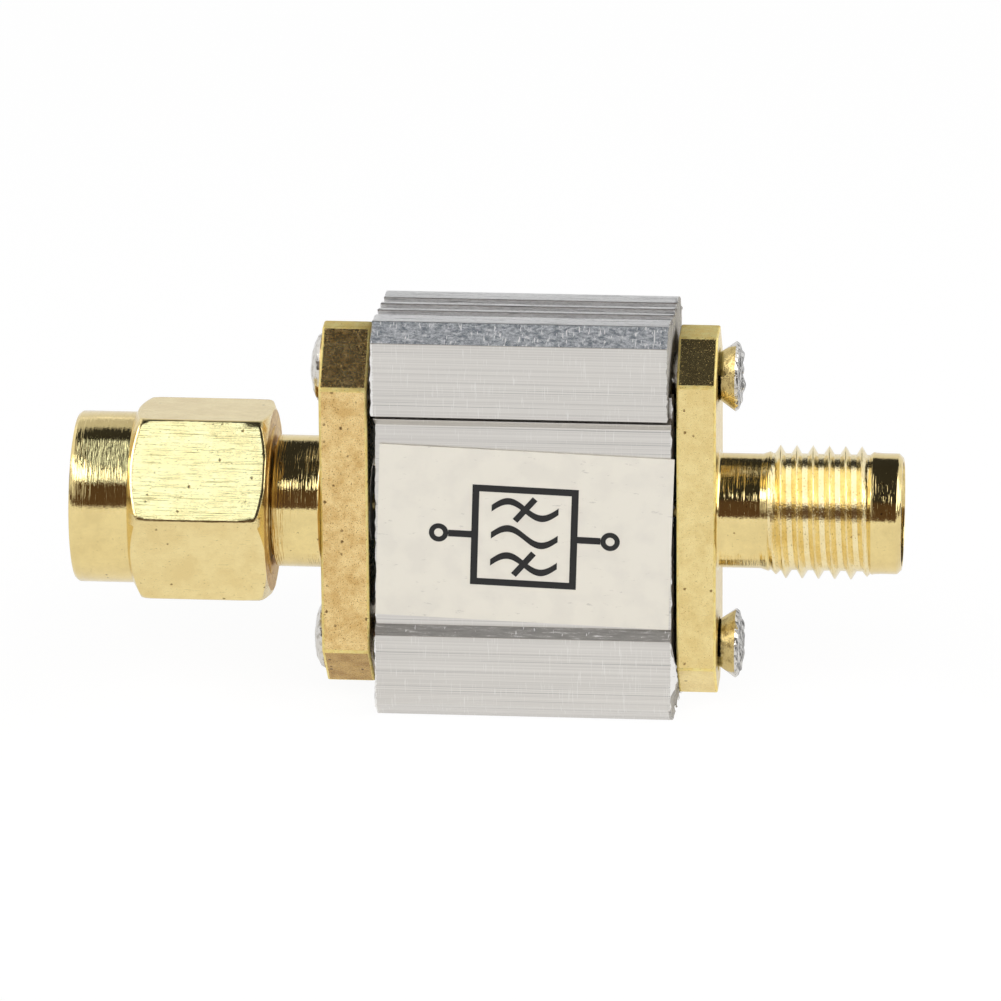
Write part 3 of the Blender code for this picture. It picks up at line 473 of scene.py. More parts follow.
finishes = {
    "aluminium": smoothFaces(),
    "ribs": groovedFacesPaintedLight(),
    # The top corner, blue-grey and scuffed all over
    "scuffed": scuffedAluminium("scuffed aluminium", {
        "metal": "#D9DCE0", "dark": "#9299A1", "dentSize": (0.30, 0.16, 0.16), "dentDepth": 0.016, "nickShare": 0.655,
    }),
    # The recess's slanted foot, which nothing reaches: grey and nearly smooth
    "ledge": scuffedAluminium("aluminium in the recess", {
        "metal": "#BFBDBA", "dark": "#ACAAA7", "dentSize": (0.9, 0.10, 0.10), "dentDepth": 0.003, "nickShare": 0.72,
    }),
    "sawnGapShade": sawnAluminiumGapShade(),
    "turned": turnedGold("gold plated brass, turned", {}),
    # The rolled thread, frosted by its die and by use
    "thread": turnedGold("gold plated brass, threaded", {
        "pale": "#FBEBBA", "deep": "#EFDAA0", "rough": (0.10, 0.20), "marks": (0.10, 0.9, 0.9), "markDepth": 0.020,
        "grain": (0.08, 0.10, 0.10), "grainDepth": 0.007, "specks": 0.34, "frost": 0.66,
    }),
    # The nut's rear face, which the lathe tool left coarse and brown
    "faced": turnedGold("gold plated brass, faced", {"pale": "#E6C67E", "deep": "#B8904C", "mottle": 0.25, "rough": (0.3, 0.5)}),
    "tanMilled": tanMilledGold("gold plated brass, milled and tumbled", {"pale": "#F8DA9B", "deep": "#DEB978"}),
    # Its downward corners, painted browner and darker: painted shade for the shadowed floor that these faces mirror
    "paintedUnderShade": tanMilledGold("gold plated brass, painted under shade", {"pale": "#CDAA68", "deep": "#B08A4C"}),
    "paleMilled": paleMilledGold(),
    "drawn": drawnGold("gold plated brass, drawn hexagon", {
        "scratches": (0.9, 0.040, 0.040), "scratchShare": 0.33, "scratchDepth": 0.45,
    }),
    # The flats are rubbed alike by spanners; on the one facing up towards the lamp the long, dotted scratches are drawn
    # deeper, as painted reflection contrast
    "rubbed": drawnGold("gold plated brass, flat with painted scratch contrast", {
        "scratches": (1.5, 0.034, 0.034), "scratchShare": 0.425, "scratchDepth": 0.85, "specks": 0.33, "poreShare": 0.2,
    }),
    "wornEdgeHighlight": wornEdgeHighlightGold(),
    "steel": nickelSteel(),
    # The same screw where the driver tore it: bright tufts between near-black strokes; the strokes are painted shade in
    # the cross recess and the torn hollows
    "torn": plainFinish("nickel plated steel, torn, painted recess shade", {
        "light": "#F4F2EE", "dark": "#14110E", "grain": (0.10, 0.16, 0.42), "depth": 0.05, "rough": (0.30, 0.12),
        "metallic": 1.0,
    }),
    "paper": labelPaper(),
    # Screen-printed black ink, slightly uneven
    "ink": plainFinish("printed black ink", {
        "light": "#131212", "dark": "#0E0D0D", "grain": (0.2, 0.2, 0.2), "depth": 0.003, "rough": (0.38, 0.5),
    }),
    # Moulded PTFE: waxy white, no gloss
    "ptfe": plainFinish("ptfe insulator", {
        "light": "#F3F2EE", "dark": "#E9E7E1", "grain": (0.5, 0.3, 0.3), "depth": 0.004, "rough": (0.5, 0.62),
    }),
    # Moulded silicone rubber: matt red-brown
    "rubber": plainFinish("silicone rubber", {
        "light": "#A8402C", "dark": "#963622", "grain": (0.15, 0.15, 0.15), "depth": 0.003, "rough": (0.6, 0.75),
    }),
    # Glass-epoxy laminate under solder mask: green, with the weave just showing
    "board": plainFinish("glass epoxy laminate", {
        "light": "#1F3F2C", "dark": "#12281B", "grain": (0.35, 0.12, 0.5), "depth": 0.005, "rough": (0.3, 0.5),
    }),
    # Fired alumina ceramic: chalky white
    "ceramic": plainFinish("alumina ceramic", {
        "light": "#E9E6DF", "dark": "#DCD8D0", "grain": (0.12, 0.12, 0.12), "depth": 0.002, "rough": (0.45, 0.6),
    }),
    # Sintered ferrite: dark grey, matt
    "ferrite": plainFinish("sintered ferrite", {
        "light": "#4A4A4C", "dark": "#38383A", "grain": (0.1, 0.1, 0.1), "depth": 0.003, "rough": (0.5, 0.7),
    }),
    # Capacitor ceramic: plain brown
    "chipCeramic": plainFinish("capacitor ceramic", {
        "light": "#B08D6A", "dark": "#9C7A58", "grain": (0.1, 0.1, 0.1), "depth": 0.002, "rough": (0.4, 0.55),
    }),
    # Reflowed tin solder: bright grey, frosted in places
    "solder": plainFinish("tin solder", {
        "light": "#DCDCDE", "dark": "#B4B4B8", "grain": (0.25, 0.25, 0.25), "depth": 0.012, "rough": (0.18, 0.42),
        "metallic": 1.0,
    }),
    # Gold-plated kovar lid: flat and satin
    "lid": plainFinish("gold plated lid", {
        "light": "#E8CF84", "dark": "#D8BC70", "grain": (0.3, 0.1, 0.3), "depth": 0.002, "rough": (0.25, 0.4),
        "metallic": 1.0,
    }),
}
print("finishes ready:", len(finishes))


# A shape in mm about the connectors' axis becomes a piece in the frame's metres
def finishPiece(name, shape, materials, body, nodes, sharpAngle=34):
    bmesh.ops.remove_doubles(shape, verts=shape.verts, dist=0.0004)
    bmesh.ops.recalc_face_normals(shape, faces=shape.faces)
    toFrame = Matrix.Translation((0, 0, stations["axisHeight"] / 1000)) @ Matrix.Scale(0.001, 4)
    bmesh.ops.transform(shape, matrix=toFrame, verts=shape.verts)
    mesh = bpy.data.meshes.new(name)
    shape.to_mesh(mesh)
    shape.free()
    for material in materials:
        mesh.materials.append(material)
    mesh.shade_smooth()
    mesh.set_sharp_from_angle(angle=math.radians(sharpAngle))
    piece = bpy.data.objects.new(name, mesh)
    bpy.context.scene.collection.objects.link(piece)
    evenShading = piece.modifiers.new("even shading", "WEIGHTED_NORMAL")
    evenShading.keep_sharp = True
    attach(piece, body)
    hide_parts(*nodes)
    return piece


def softened(points, radius, closed=True, steps=3):  # an outline with its corners rounded
    soft = []
    for index, point in enumerate(points):
        here = Vector(point)
        if not closed and index in (0, len(points) - 1):
            soft.append(tuple(here))
            continue
        back = Vector(points[index - 1]) - here
        ahead = Vector(points[(index + 1) % len(points)]) - here
        reach = min(radius, back.length * 0.42, ahead.length * 0.42)
        start = here + back.normalized() * reach
        end = here + ahead.normalized() * reach
        for step in range(steps + 1):
            part = step / steps
            soft.append(tuple(start * (1 - part) ** 2 + here * (2 * part * (1 - part)) + end * part ** 2))
    return soft


def turn(shape, points, steps=180, closed=True, startAngle=0.0, materialIndex=0):  # an outline spun round the axis
    before = set(shape.faces)
    corners = [shape.verts.new((x, 0, radius)) for x, radius in points]
    pairs = list(zip(corners, corners[1:])) + ([(corners[-1], corners[0])] if closed else [])
    edges = [shape.edges.new(pair) for pair in pairs]
    bmesh.ops.rotate(shape, verts=corners, cent=(0, 0, 0), matrix=Matrix.Rotation(startAngle, 3, "X"))
    bmesh.ops.spin(
        shape, geom=corners + edges, cent=(0, 0, 0), axis=(1, 0, 0), angle=math.tau, steps=steps, use_merge=True,
    )
    for face in set(shape.faces) - before:
        face.material_index = materialIndex


# An octagonal plate with round holes, its outer edges rounded
def flangePlate(shape, start, end, halfDepth, halfHeight, chamfer, holes, edge):
    plate = bmesh.new()
    outline = [
        (-halfDepth, chamfer - halfHeight), (chamfer - halfDepth, -halfHeight),
        (halfDepth - chamfer, -halfHeight), (halfDepth, chamfer - halfHeight),
        (halfDepth, halfHeight - chamfer), (halfDepth - chamfer, halfHeight),
        (chamfer - halfDepth, halfHeight), (-halfDepth, halfHeight - chamfer),
    ]
    corners = [plate.verts.new((start, y, z)) for y, z in outline]
    rim = [plate.edges.new(pair) for pair in zip(corners, corners[1:] + corners[:1])]
    loops = list(rim)
    for rise, radius in holes:
        matrix = Matrix.Translation((start, 0, rise)) @ Matrix.Rotation(math.pi / 2, 4, "Y")
        circle = bmesh.ops.create_circle(plate, cap_ends=False, radius=radius, segments=64, matrix=matrix)
        loops += list({edge for vert in circle["verts"] for edge in vert.link_edges})
    bmesh.ops.triangle_fill(plate, use_beauty=True, edges=loops, normal=(1, 0, 0))
    grown = bmesh.ops.extrude_face_region(plate, geom=list(plate.faces))
    moved = [item for item in grown["geom"] if isinstance(item, bmesh.types.BMVert)]
    bmesh.ops.translate(plate, verts=moved, vec=(end - start, 0, 0))
    bmesh.ops.recalc_face_normals(plate, faces=plate.faces)

    def outer(edge):
        turned = edge.is_manifold and edge.calc_face_angle(0) > math.radians(25)
        return turned and all(max(abs(v.co.y) - halfDepth, abs(v.co.z) - halfHeight + chamfer) > -0.001 for v in edge.verts)

    wornAndHighlit = bmesh.ops.bevel(
        plate, geom=[item for item in plate.edges if outer(item)], offset=edge, segments=3, profile=0.5,
        affect="EDGES", material=-1,
    )
    # The rounded edges and the flat top take the worn-edge gold, whose pale tone is a painted highlight
    for face in plate.faces:
        if face in wornAndHighlit["faces"] or face.normal.z > 0.95:
            face.material_index = 2
    mesh = bpy.data.meshes.new("plate")
    plate.to_mesh(mesh)
    plate.free()
    shape.from_mesh(mesh)
    bpy.data.meshes.remove(mesh)


def filletPoints(station, radius, size, side, steps=5):  # the hollow corner where a barrel leaves its flange
    points = []
    for step in range(steps + 1):
        angle = math.pi / 2 * step / steps
        points.append((station + side * size * (1 - math.cos(angle)), radius + size * (1 - math.sin(angle))))
    return points


# One helical ridge that runs out at both ends. With a lead, the first turn stays low and lies closer to the second
def helicalRidge(shape, start, turns, pitch, outline, base, materialIndex=0, steps=144, runOut=0.35, lead=None):
    ridge = bmesh.new()
    corners = [ridge.verts.new((start + x, 0, radius)) for x, radius in outline]
    face = ridge.faces.new(corners)
    bmesh.ops.spin(
        ridge, geom=[face], cent=(0, 0, 0), axis=(1, 0, 0), dvec=(pitch / steps, 0, 0),
        angle=math.tau * turns, steps=round(steps * turns),
    )
    bmesh.ops.recalc_face_normals(ridge, faces=ridge.faces)
    for vert in ridge.verts:
        around = (math.atan2(-vert.co.y, vert.co.z) / math.tau) % 1.0
        progress = around + round((vert.co.x - start) / pitch - around)
        depth = min(1.0, max(0.02, min(progress, turns - progress) / runOut))
        share = math.sin(depth * math.pi / 2)
        if lead:
            late = min(1.0, max(0.0, (progress - 0.55) / 0.35))
            share *= lead["height"] + (1 - lead["height"]) * late
            vert.co.x += lead["shift"] * (1 - late)
        radius = math.hypot(vert.co.y, vert.co.z)
        height = base + (radius - base) * share
        vert.co.y *= height / radius
        vert.co.z *= height / radius
    for face in ridge.faces:
        face.material_index = materialIndex
    mesh = bpy.data.meshes.new("ridge")
    ridge.to_mesh(mesh)
    ridge.free()
    shape.from_mesh(mesh)
    bpy.data.meshes.remove(mesh)


def buildMaleBody():
    size = {
        "neck": 2.87, "neckEnd": 2.05, "hub": 2.40, "hubEnd": 5.60, "groove": (2.98, 3.50, 2.05),
        "ferrule": 2.295, "reference": 8.14, "wall": 0.215, "rearBore": 1.63, "rearBoreEnd": 5.40,
        "plate": 2.10, "halfDepth": 2.55, "halfHeight": 8.20, "chamfer": 2.15, "edge": 0.11, "fillet": 0.12,
    }
    outer = stations["maleOuter"]
    shape = bmesh.new()
    flangePlate(
        shape, outer, outer + size["plate"], size["halfDepth"], size["halfHeight"], size["chamfer"],
        [(stations["screwRise"], 1.15), (-stations["screwRise"], 1.15), (0, 2.0)], size["edge"],
    )
    # Downward corner faces take the darker, browner gold: painted shade
    for face in shape.faces:
        if face.material_index == 0 and face.normal.z < -0.5 and abs(face.normal.y) > 0.5:
            face.material_index = 3
    grooveStart, grooveEnd, grooveRadius = size["groove"]
    bore = size["ferrule"] - size["wall"]
    barrel = filletPoints(0.0, size["neck"], size["fillet"], 1)
    barrel += softened([
        (0.5, size["neck"]), (size["neckEnd"], size["neck"]), (size["neckEnd"], size["hub"]), (grooveStart, size["hub"]),
        (grooveStart, grooveRadius), (grooveEnd, grooveRadius), (grooveEnd, size["hub"]), (size["hubEnd"], size["hub"]),
        (size["hubEnd"], size["ferrule"]), (size["reference"], size["ferrule"]), (size["reference"], bore),
        (size["rearBoreEnd"], bore), (size["rearBoreEnd"], size["rearBore"]), (-size["plate"] + 0.02, size["rearBore"]),
        (-size["plate"] + 0.02, 2.3),
    ], 0.04, closed=False)
    barrel += [(-0.02, 2.3), (0.0, 2.35)]
    turn(shape, [(outer - along, radius) for along, radius in barrel], materialIndex=1)
    return finishPiece(
        "male_connector", shape, [finishes[finish] for finish in ("tanMilled", "turned", "wornEdgeHighlight", "paintedUnderShade")],
        "filter", ["male_flange_body"],
    )


def buildFemaleBody():
    size = {
        "barrel": 2.49, "leadCone": (1.74, 2.06, 2.60), "root": 2.52, "crest": 2.88, "pitch": 25.4 / 36, "turns": 6.6,
        "threadStart": 1.814, "leadHeight": 0.62, "leadShift": 0.27,
        "collar": 2.62, "collarFoot": 6.36, "collarRidge": (6.55, 2.67), "collarFall": 6.95,
        "end": 7.84, "endChamfer": 0.20, "socket": 2.315, "socketDepth": 1.95,
        "bore": 2.08, "plate": 1.70, "shift": 0.13, "halfDepth": 2.55, "halfHeight": 8.20, "chamfer": 1.70,
        "edge": 0.10, "fillet": 0.14,
    }
    outer = stations["femaleOuter"]
    shape = bmesh.new()
    flangePlate(
        shape, outer - size["plate"] - size["shift"], outer - size["shift"], size["halfDepth"], size["halfHeight"],
        size["chamfer"],
        [(stations["screwRise"], 1.15), (-stations["screwRise"], 1.15), (0, 2.2)], size["edge"],
    )
    coneStart, coneEnd, coneTop = size["leadCone"]
    ridgeStation, ridgeRadius = size["collarRidge"]
    barrel = filletPoints(-size["shift"], size["barrel"], size["fillet"], 1)
    barrel += softened([
        (0.5, size["barrel"]), (coneStart, size["barrel"]), (coneEnd, coneTop), (coneEnd + 0.12, size["root"]),
        (size["collarFoot"], size["root"]), (ridgeStation, ridgeRadius), (ridgeStation + 0.07, ridgeRadius - 0.03),
        (size["collarFall"], size["collar"]),
        (size["end"] - size["endChamfer"], size["collar"]), (size["end"], size["collar"] - size["endChamfer"]),
        (size["end"], size["socket"]), (size["end"] - size["socketDepth"], size["socket"]),
        (size["end"] - size["socketDepth"], size["bore"]), (0.02 - size["plate"] - size["shift"], size["bore"]),
        (0.02 - size["plate"] - size["shift"], 2.3),
    ], 0.035, closed=False)
    barrel += [(-0.02 - size["shift"], 2.3), (-size["shift"], 2.35)]
    turn(shape, [(outer + along, radius) for along, radius in barrel], materialIndex=1)
    finishPiece(
        "female_connector", shape, [finishes[finish] for finish in ("paleMilled", "turned", "wornEdgeHighlight")], "filter",
        ["female_flange_body"],
    )
    # The thread's root, whose ends lie under the lead cone and the collar's foot
    thread = bmesh.new()
    start, end = outer + size["leadCone"][1] + 0.04, outer + size["collarFoot"] + 0.04
    low, high = size["root"] - 0.05, size["root"] + 0.012
    turn(thread, [(start, low), (start, high), (end, high), (end, low)])
    # Sixty-degree flanks, with a thin burr that the die raised on the crest
    flank = [
        (0.255, size["root"] - 0.02), (0.255, size["root"]), (0.215, size["root"] + 0.030), (0.045, size["crest"] - 0.050),
        (0.020, size["crest"] - 0.030), (0.012, size["crest"] + 0.010),
    ]
    outline = [(-across, radius) for across, radius in flank] + [(across, radius) for across, radius in reversed(flank)]
    helicalRidge(
        thread, outer + size["threadStart"], size["turns"], size["pitch"], outline, size["root"] - 0.04,
        lead={"height": size["leadHeight"], "shift": size["leadShift"]},
    )
    return finishPiece(
        "female_thread", thread, [finishes["thread"]], "filter", ["female_flange_body"],
    )


def buildCouplingNut():
    size = {
        "length": 8.64, "lip": 0.08, "lipRadius": 3.25, "hexEnd": 6.08, "flats": 8.0, "hexTurn": 36.8,
        "rearChamfer": 4.04, "frontChamfer": 3.76, "round": 3.73, "endChamfer": 0.15,
        "hubBore": 2.45, "ringGroove": (0.75, 1.35, 2.85),
        "relief": (3.00, 3.80), "minor": 2.60, "major": 2.95, "pitch": 25.4 / 36, "cornerFlat": 0.045,
    }
    rear = stations["nutRear"]
    corner = size["flats"] / 2 / math.cos(math.pi / 6)
    slope = math.tan(math.radians(30))
    grooveStart, grooveEnd, grooveRadius = size["ringGroove"]
    reliefStart, reliefEnd = size["relief"]
    hexStart, hexEnd = size["lip"], size["hexEnd"]
    rearFoot, frontFoot = size["rearChamfer"], size["frontChamfer"]
    # Points on the hexagon are marked by how far they lie under its surface, and moved onto it after the spin
    outline = [
        (0.0, size["hubBore"] + 0.1, 0), (0.0, size["lipRadius"] - 0.05, 0), (0.05, size["lipRadius"], 0),
        (hexStart, size["lipRadius"], 0), (hexStart - 0.03, size["lipRadius"] + 0.12, 0),
        (hexStart, size["lipRadius"] + 0.24, 0), (hexStart - 0.025, 3.60, 0), (hexStart, 3.70, 0),
        (hexStart - 0.02, 3.80, 0), (hexStart, 3.88, 0), (hexStart, 3.95, 0),
        (hexStart, rearFoot, 1), (hexStart, rearFoot, 2), (hexStart, rearFoot, 3), (1.2, 4.0, 4), (2.2, 4.0, 4),
        (3.2, 4.0, 4), (4.2, 4.0, 4), (5.2, 4.0, 4),
        (hexEnd, frontFoot, 5), (hexEnd, frontFoot, 6), (hexEnd, frontFoot, 7),
        (hexEnd - 0.02, frontFoot + 0.01, 0), (hexEnd, frontFoot - 0.01, 0), (hexEnd, size["round"], 0),
        (hexEnd + 0.4, size["round"], 0), (hexEnd + 1.4, size["round"], 0),
        (size["length"] - size["endChamfer"] - 0.04, size["round"], 0),
        (size["length"] - size["endChamfer"] + 0.02, size["round"] - 0.03, 0),
        (size["length"] - 0.02, size["round"] - size["endChamfer"] + 0.03, 0),
        (size["length"], size["round"] - size["endChamfer"] - 0.04, 0),
        (size["length"], size["major"] + 0.05, 0), (size["length"] - 0.04, size["major"], 0),
        (reliefStart, size["major"], 0), (reliefStart, size["hubBore"], 0),
        (grooveEnd, size["hubBore"], 0), (grooveEnd, grooveRadius, 0), (grooveStart, grooveRadius, 0),
        (grooveStart, size["hubBore"], 0), (0.1, size["hubBore"], 0),
    ]
    shape = bmesh.new()
    mark = shape.verts.layers.int.new("mark")
    corners = []
    for along, radius, kind in outline:
        vert = shape.verts.new((rear - along, 0, radius))
        vert[mark] = kind
        corners.append(vert)
    edges = [shape.edges.new(pair) for pair in zip(corners, corners[1:] + corners[:1])]
    # From +Z towards +Y is the negative sense about X
    bmesh.ops.rotate(shape, verts=corners, cent=(0, 0, 0), matrix=Matrix.Rotation(-math.radians(size["hexTurn"]), 3, "X"))
    bmesh.ops.spin(
        shape, geom=corners + edges, cent=(0, 0, 0), axis=(1, 0, 0), angle=math.tau, steps=480, use_merge=True,
    )
    for vert in shape.verts:
        kind = vert[mark]
        if kind == 0:
            continue
        angle = math.degrees(math.atan2(vert.co.y, vert.co.z)) - size["hexTurn"]
        off = abs((angle + 30) % 60 - 30)  # degrees from the nearest corner
        radius = size["flats"] / 2 / math.cos(math.radians(30 - off))
        # The flats' corners are rounder than their edges
        radius = min(radius, corner - size["cornerFlat"] - (0, 0.09, 0.07, 0.03, 0, 0.03, 0.07, 0.09)[kind])
        along = rear - vert.co.x
        if kind in (1, 7):
            radius -= 0.030
        if kind < 4:
            along = hexStart + max(0.0, radius - rearFoot) * slope + (0, 0, 0.05, 0.13)[kind]
        elif kind > 4:
            along = hexEnd - (radius - frontFoot) * slope - (0.13, 0.05, 0)[kind - 5]
        scale = radius / math.hypot(vert.co.y, vert.co.z)
        vert.co = (rear - along, vert.co.y * scale, vert.co.z * scale)
    for face in shape.faces:
        middle = face.calc_center_median()
        angle = math.degrees(math.atan2(middle.y, middle.z))
        # The flat facing up towards the lamp takes the finish with painted scratch contrast
        if hexStart < rear - middle.x < hexEnd and math.hypot(*middle.yz) > 3.97:
            face.material_index = 2 if abs(angle + 90 - size["hexTurn"]) < 30 else 1
        elif face.normal.x > 0.6 and middle.x > rear - 0.2:
            face.material_index = 3
    flat = 0.05
    half = size["pitch"] / 2 - flat
    ridge = [
        (-half, size["major"] + 0.05), (-half, size["major"]), (-flat, size["minor"]), (flat, size["minor"]),
        (half, size["major"]), (half, size["major"] + 0.05),
    ]
    threadLength = size["length"] - 0.25 - reliefEnd
    helicalRidge(
        shape, rear - size["length"] + 0.45, threadLength / size["pitch"], size["pitch"], ridge, size["major"] + 0.04,
        steps=96,
    )
    return finishPiece(
        "coupling_nut_turned", shape, [finishes[finish] for finish in ("turned", "drawn", "rubbed", "faced")], "nut",
        ["coupling_nut"],
    )


def cadCopy(node):  # a node's triangles merged into one skin, in mm about the connectors' axis
    shape = bmesh.new()
    shape.from_mesh(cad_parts[node].data)
    bmesh.ops.remove_doubles(shape, verts=shape.verts, dist=1e-7)
    toAxis = Matrix.Scale(1000, 4) @ Matrix.Translation((0, 0, -stations["axisHeight"] / 1000))
    bmesh.ops.transform(shape, matrix=toAxis, verts=shape.verts)
    for face in shape.faces:
        face.material_index = 0
    return shape


def buildShell(node, holeSide, torn):
    look = {
        "softEdge": 0.05, "strip": 0.16, "step": 0.12, "burr": 0.034,
        "leftSkew": 0.055, "rightSkew": 0.047, "front": -2.82, "rightPivot": 0.16, "lean": 0.008,
        "tearTop": -5.7, "tearBottom": -7.9, "tearDepth": -2.60, "tearReach": 0.42, "ribs": 8.6, "cornerFoot": 5.0,
    }
    shape = cadCopy(node)
    bmesh.ops.dissolve_limit(shape, angle_limit=math.radians(1), verts=shape.verts, edges=shape.edges)
    low = min(vert.co.x for vert in shape.verts)
    high = max(vert.co.x for vert in shape.verts)

    def inHole(point):
        return math.hypot(point.y, point.z - holeSide * stations["screwRise"]) < 1.05

    long = [
        edge for edge in shape.edges
        if edge.is_manifold and abs(edge.verts[0].co.x - edge.verts[1].co.x) > 5
        and edge.calc_face_angle(0) > math.radians(20) and not inHole(edge.verts[0].co)
    ]
    bmesh.ops.bevel(
        shape, geom=long, offset=look["softEdge"], segments=2, profile=0.5, affect="EDGES", material=-1,
    )
    # Both ends were sawn by hand: a little askew, with ragged rims
    for end, inward in ((low, 1), (high, -1)):
        whole = list(shape.verts) + list(shape.edges) + list(shape.faces)
        bmesh.ops.bisect_plane(shape, geom=whole, plane_co=(end + inward * look["strip"], 0, 0), plane_no=(1, 0, 0))
        rim = [
            edge for edge in shape.edges
            if all(abs(v.co.x - end) < 1e-4 and not inHole(v.co) for v in edge.verts)
            and edge.calc_length() > look["step"] and edge.calc_face_angle(0) > math.radians(45)
        ]
        for edge in rim:
            bmesh.ops.subdivide_edges(shape, edges=[edge], cuts=max(1, int(edge.calc_length() / look["step"])))
        for vert in shape.verts:
            if abs(vert.co.x - end) > look["strip"] + 1e-4:
                continue
            spot = vert.co.copy()
            if end == low:
                vert.co.x += look["leftSkew"] * max(0.0, spot.y - look["front"]) + look["lean"] * spot.z
            else:
                vert.co.x += look["rightSkew"] * (spot.y - look["rightPivot"])
            if abs(spot.x - end) < 1e-4 and not inHole(spot):
                rough = noise.noise_vector(Vector((end * 3, spot.y, spot.z)) * 5.0)
                vert.co.x += look["burr"] * (rough.x * 1.6 - inward * abs(rough.y))
                vert.co.y += look["burr"] * rough.y * 0.4
                vert.co.z += look["burr"] * rough.z * 0.4
                # The saw left a torn burr at the lower right of the front, which stands out past the flange's edge
                if torn and end == high and spot.y < look["tearDepth"] and look["tearBottom"] < spot.z < look["tearTop"]:
                    along = (look["tearTop"] - spot.z) / (look["tearTop"] - look["tearBottom"])
                    jag = 0.75 + 0.5 * noise.noise(Vector((3.1, 0.7, spot.z * 4.0)))
                    vert.co.x += look["tearReach"] * math.sin(math.pi * min(1.0, along * 1.15)) ** 0.7 * jag
                    vert.co.y -= 0.05 * jag
    for face in shape.faces:
        # Both end faces take the sawn finish, whose darker grey is painted shade of the gap
        if abs(face.normal.x) > 0.7:
            face.material_index = 2
        elif 0.45 < face.normal.z < 0.9 and abs(face.normal.y) > 0.3:
            face.material_index = 1 if face.calc_center_median().z > look["cornerFoot"] else 4
        # Faces out on the ribbed top and bottom take the ribs finish, whose white tone is painted light
        elif abs(face.calc_center_median().z) > look["ribs"] and not -0.95 < face.normal.z < -0.3:
            face.material_index = 3
    skins = [finishes[finish] for finish in ("aluminium", "scuffed", "sawnGapShade", "ribs", "ledge")]
    return finishPiece(node + "_extrusion", shape, skins, "filter", [node], 30)


def buildScrew(node, outer, side):
    look = {"crown": 0.2 if side < 0 else 0.85, "burr": 0.03 if side < 0 else 0.10, "rim": 0.02, "tear": 1.9}
    shape = cadCopy(node)
    rise = stations["screwRise"] * (1 if node.endswith("top") else -1)
    # Burrs that the driver left round the cross recess, on the head's crown only
    crown = [edge for edge in shape.edges if all(side * (vert.co.x - outer) > look["crown"] for vert in edge.verts)]
    bmesh.ops.subdivide_edges(shape, edges=crown, cuts=3, use_grid_fill=True)
    for vert in shape.verts:
        along = side * (vert.co.x - outer)
        if side > 0 and along > 0.0:  # these two heads sit deeper and are flatter than the standard's
            vert.co.x = outer + min(along, look["crown"]) * 0.84 + max(0.0, along - look["crown"]) * 0.6
        if along <= look["crown"]:
            continue
        fromAxis = math.hypot(vert.co.y, vert.co.z - rise)
        rough = noise.noise_vector(vert.co * look["tear"] + Vector((outer, 0, 0)))
        amount = look["burr"] if 0.1 < fromAxis < 1.2 else look["rim"]
        vert.co += Vector((side * rough.x * amount * 1.6, rough.y * amount * 0.6, rough.z * amount * 0.6))
    # The right heads' crowns take the torn finish, whose dark strokes are painted shade
    for face in shape.faces:
        if side > 0 and face.calc_center_median().x - outer > look["crown"] * 0.84:
            face.material_index = 1
    skins = [finishes["steel"], finishes["torn"]]
    return finishPiece(node + "_burred", shape, skins, "filter", [node], 24)


def ringOutline(shape, radius, width, segments, centre, front):  # a flat printed ring
    matrix = Matrix.Translation((centre[0], front, centre[1])) @ Matrix.Rotation(math.pi / 2, 4, "X")
    outerRing = bmesh.ops.create_circle(shape, radius=radius, segments=segments, matrix=matrix)
    innerRing = bmesh.ops.create_circle(shape, radius=radius - width, segments=segments, matrix=matrix)
    edges = list({edge for vert in outerRing["verts"] + innerRing["verts"] for edge in vert.link_edges})
    bmesh.ops.bridge_loops(shape, edges=edges)


def bar(shape, start, end, width, front):  # a flat printed line
    along = Vector((end[0] - start[0], end[1] - start[1]))
    across = Vector((-along.y, along.x)).normalized() * width / 2
    corners = [
        (start[0] - across.x, start[1] - across.y), (end[0] - across.x, end[1] - across.y),
        (end[0] + across.x, end[1] + across.y), (start[0] + across.x, start[1] + across.y),
    ]
    shape.faces.new([shape.verts.new((x, front, z)) for x, z in corners])


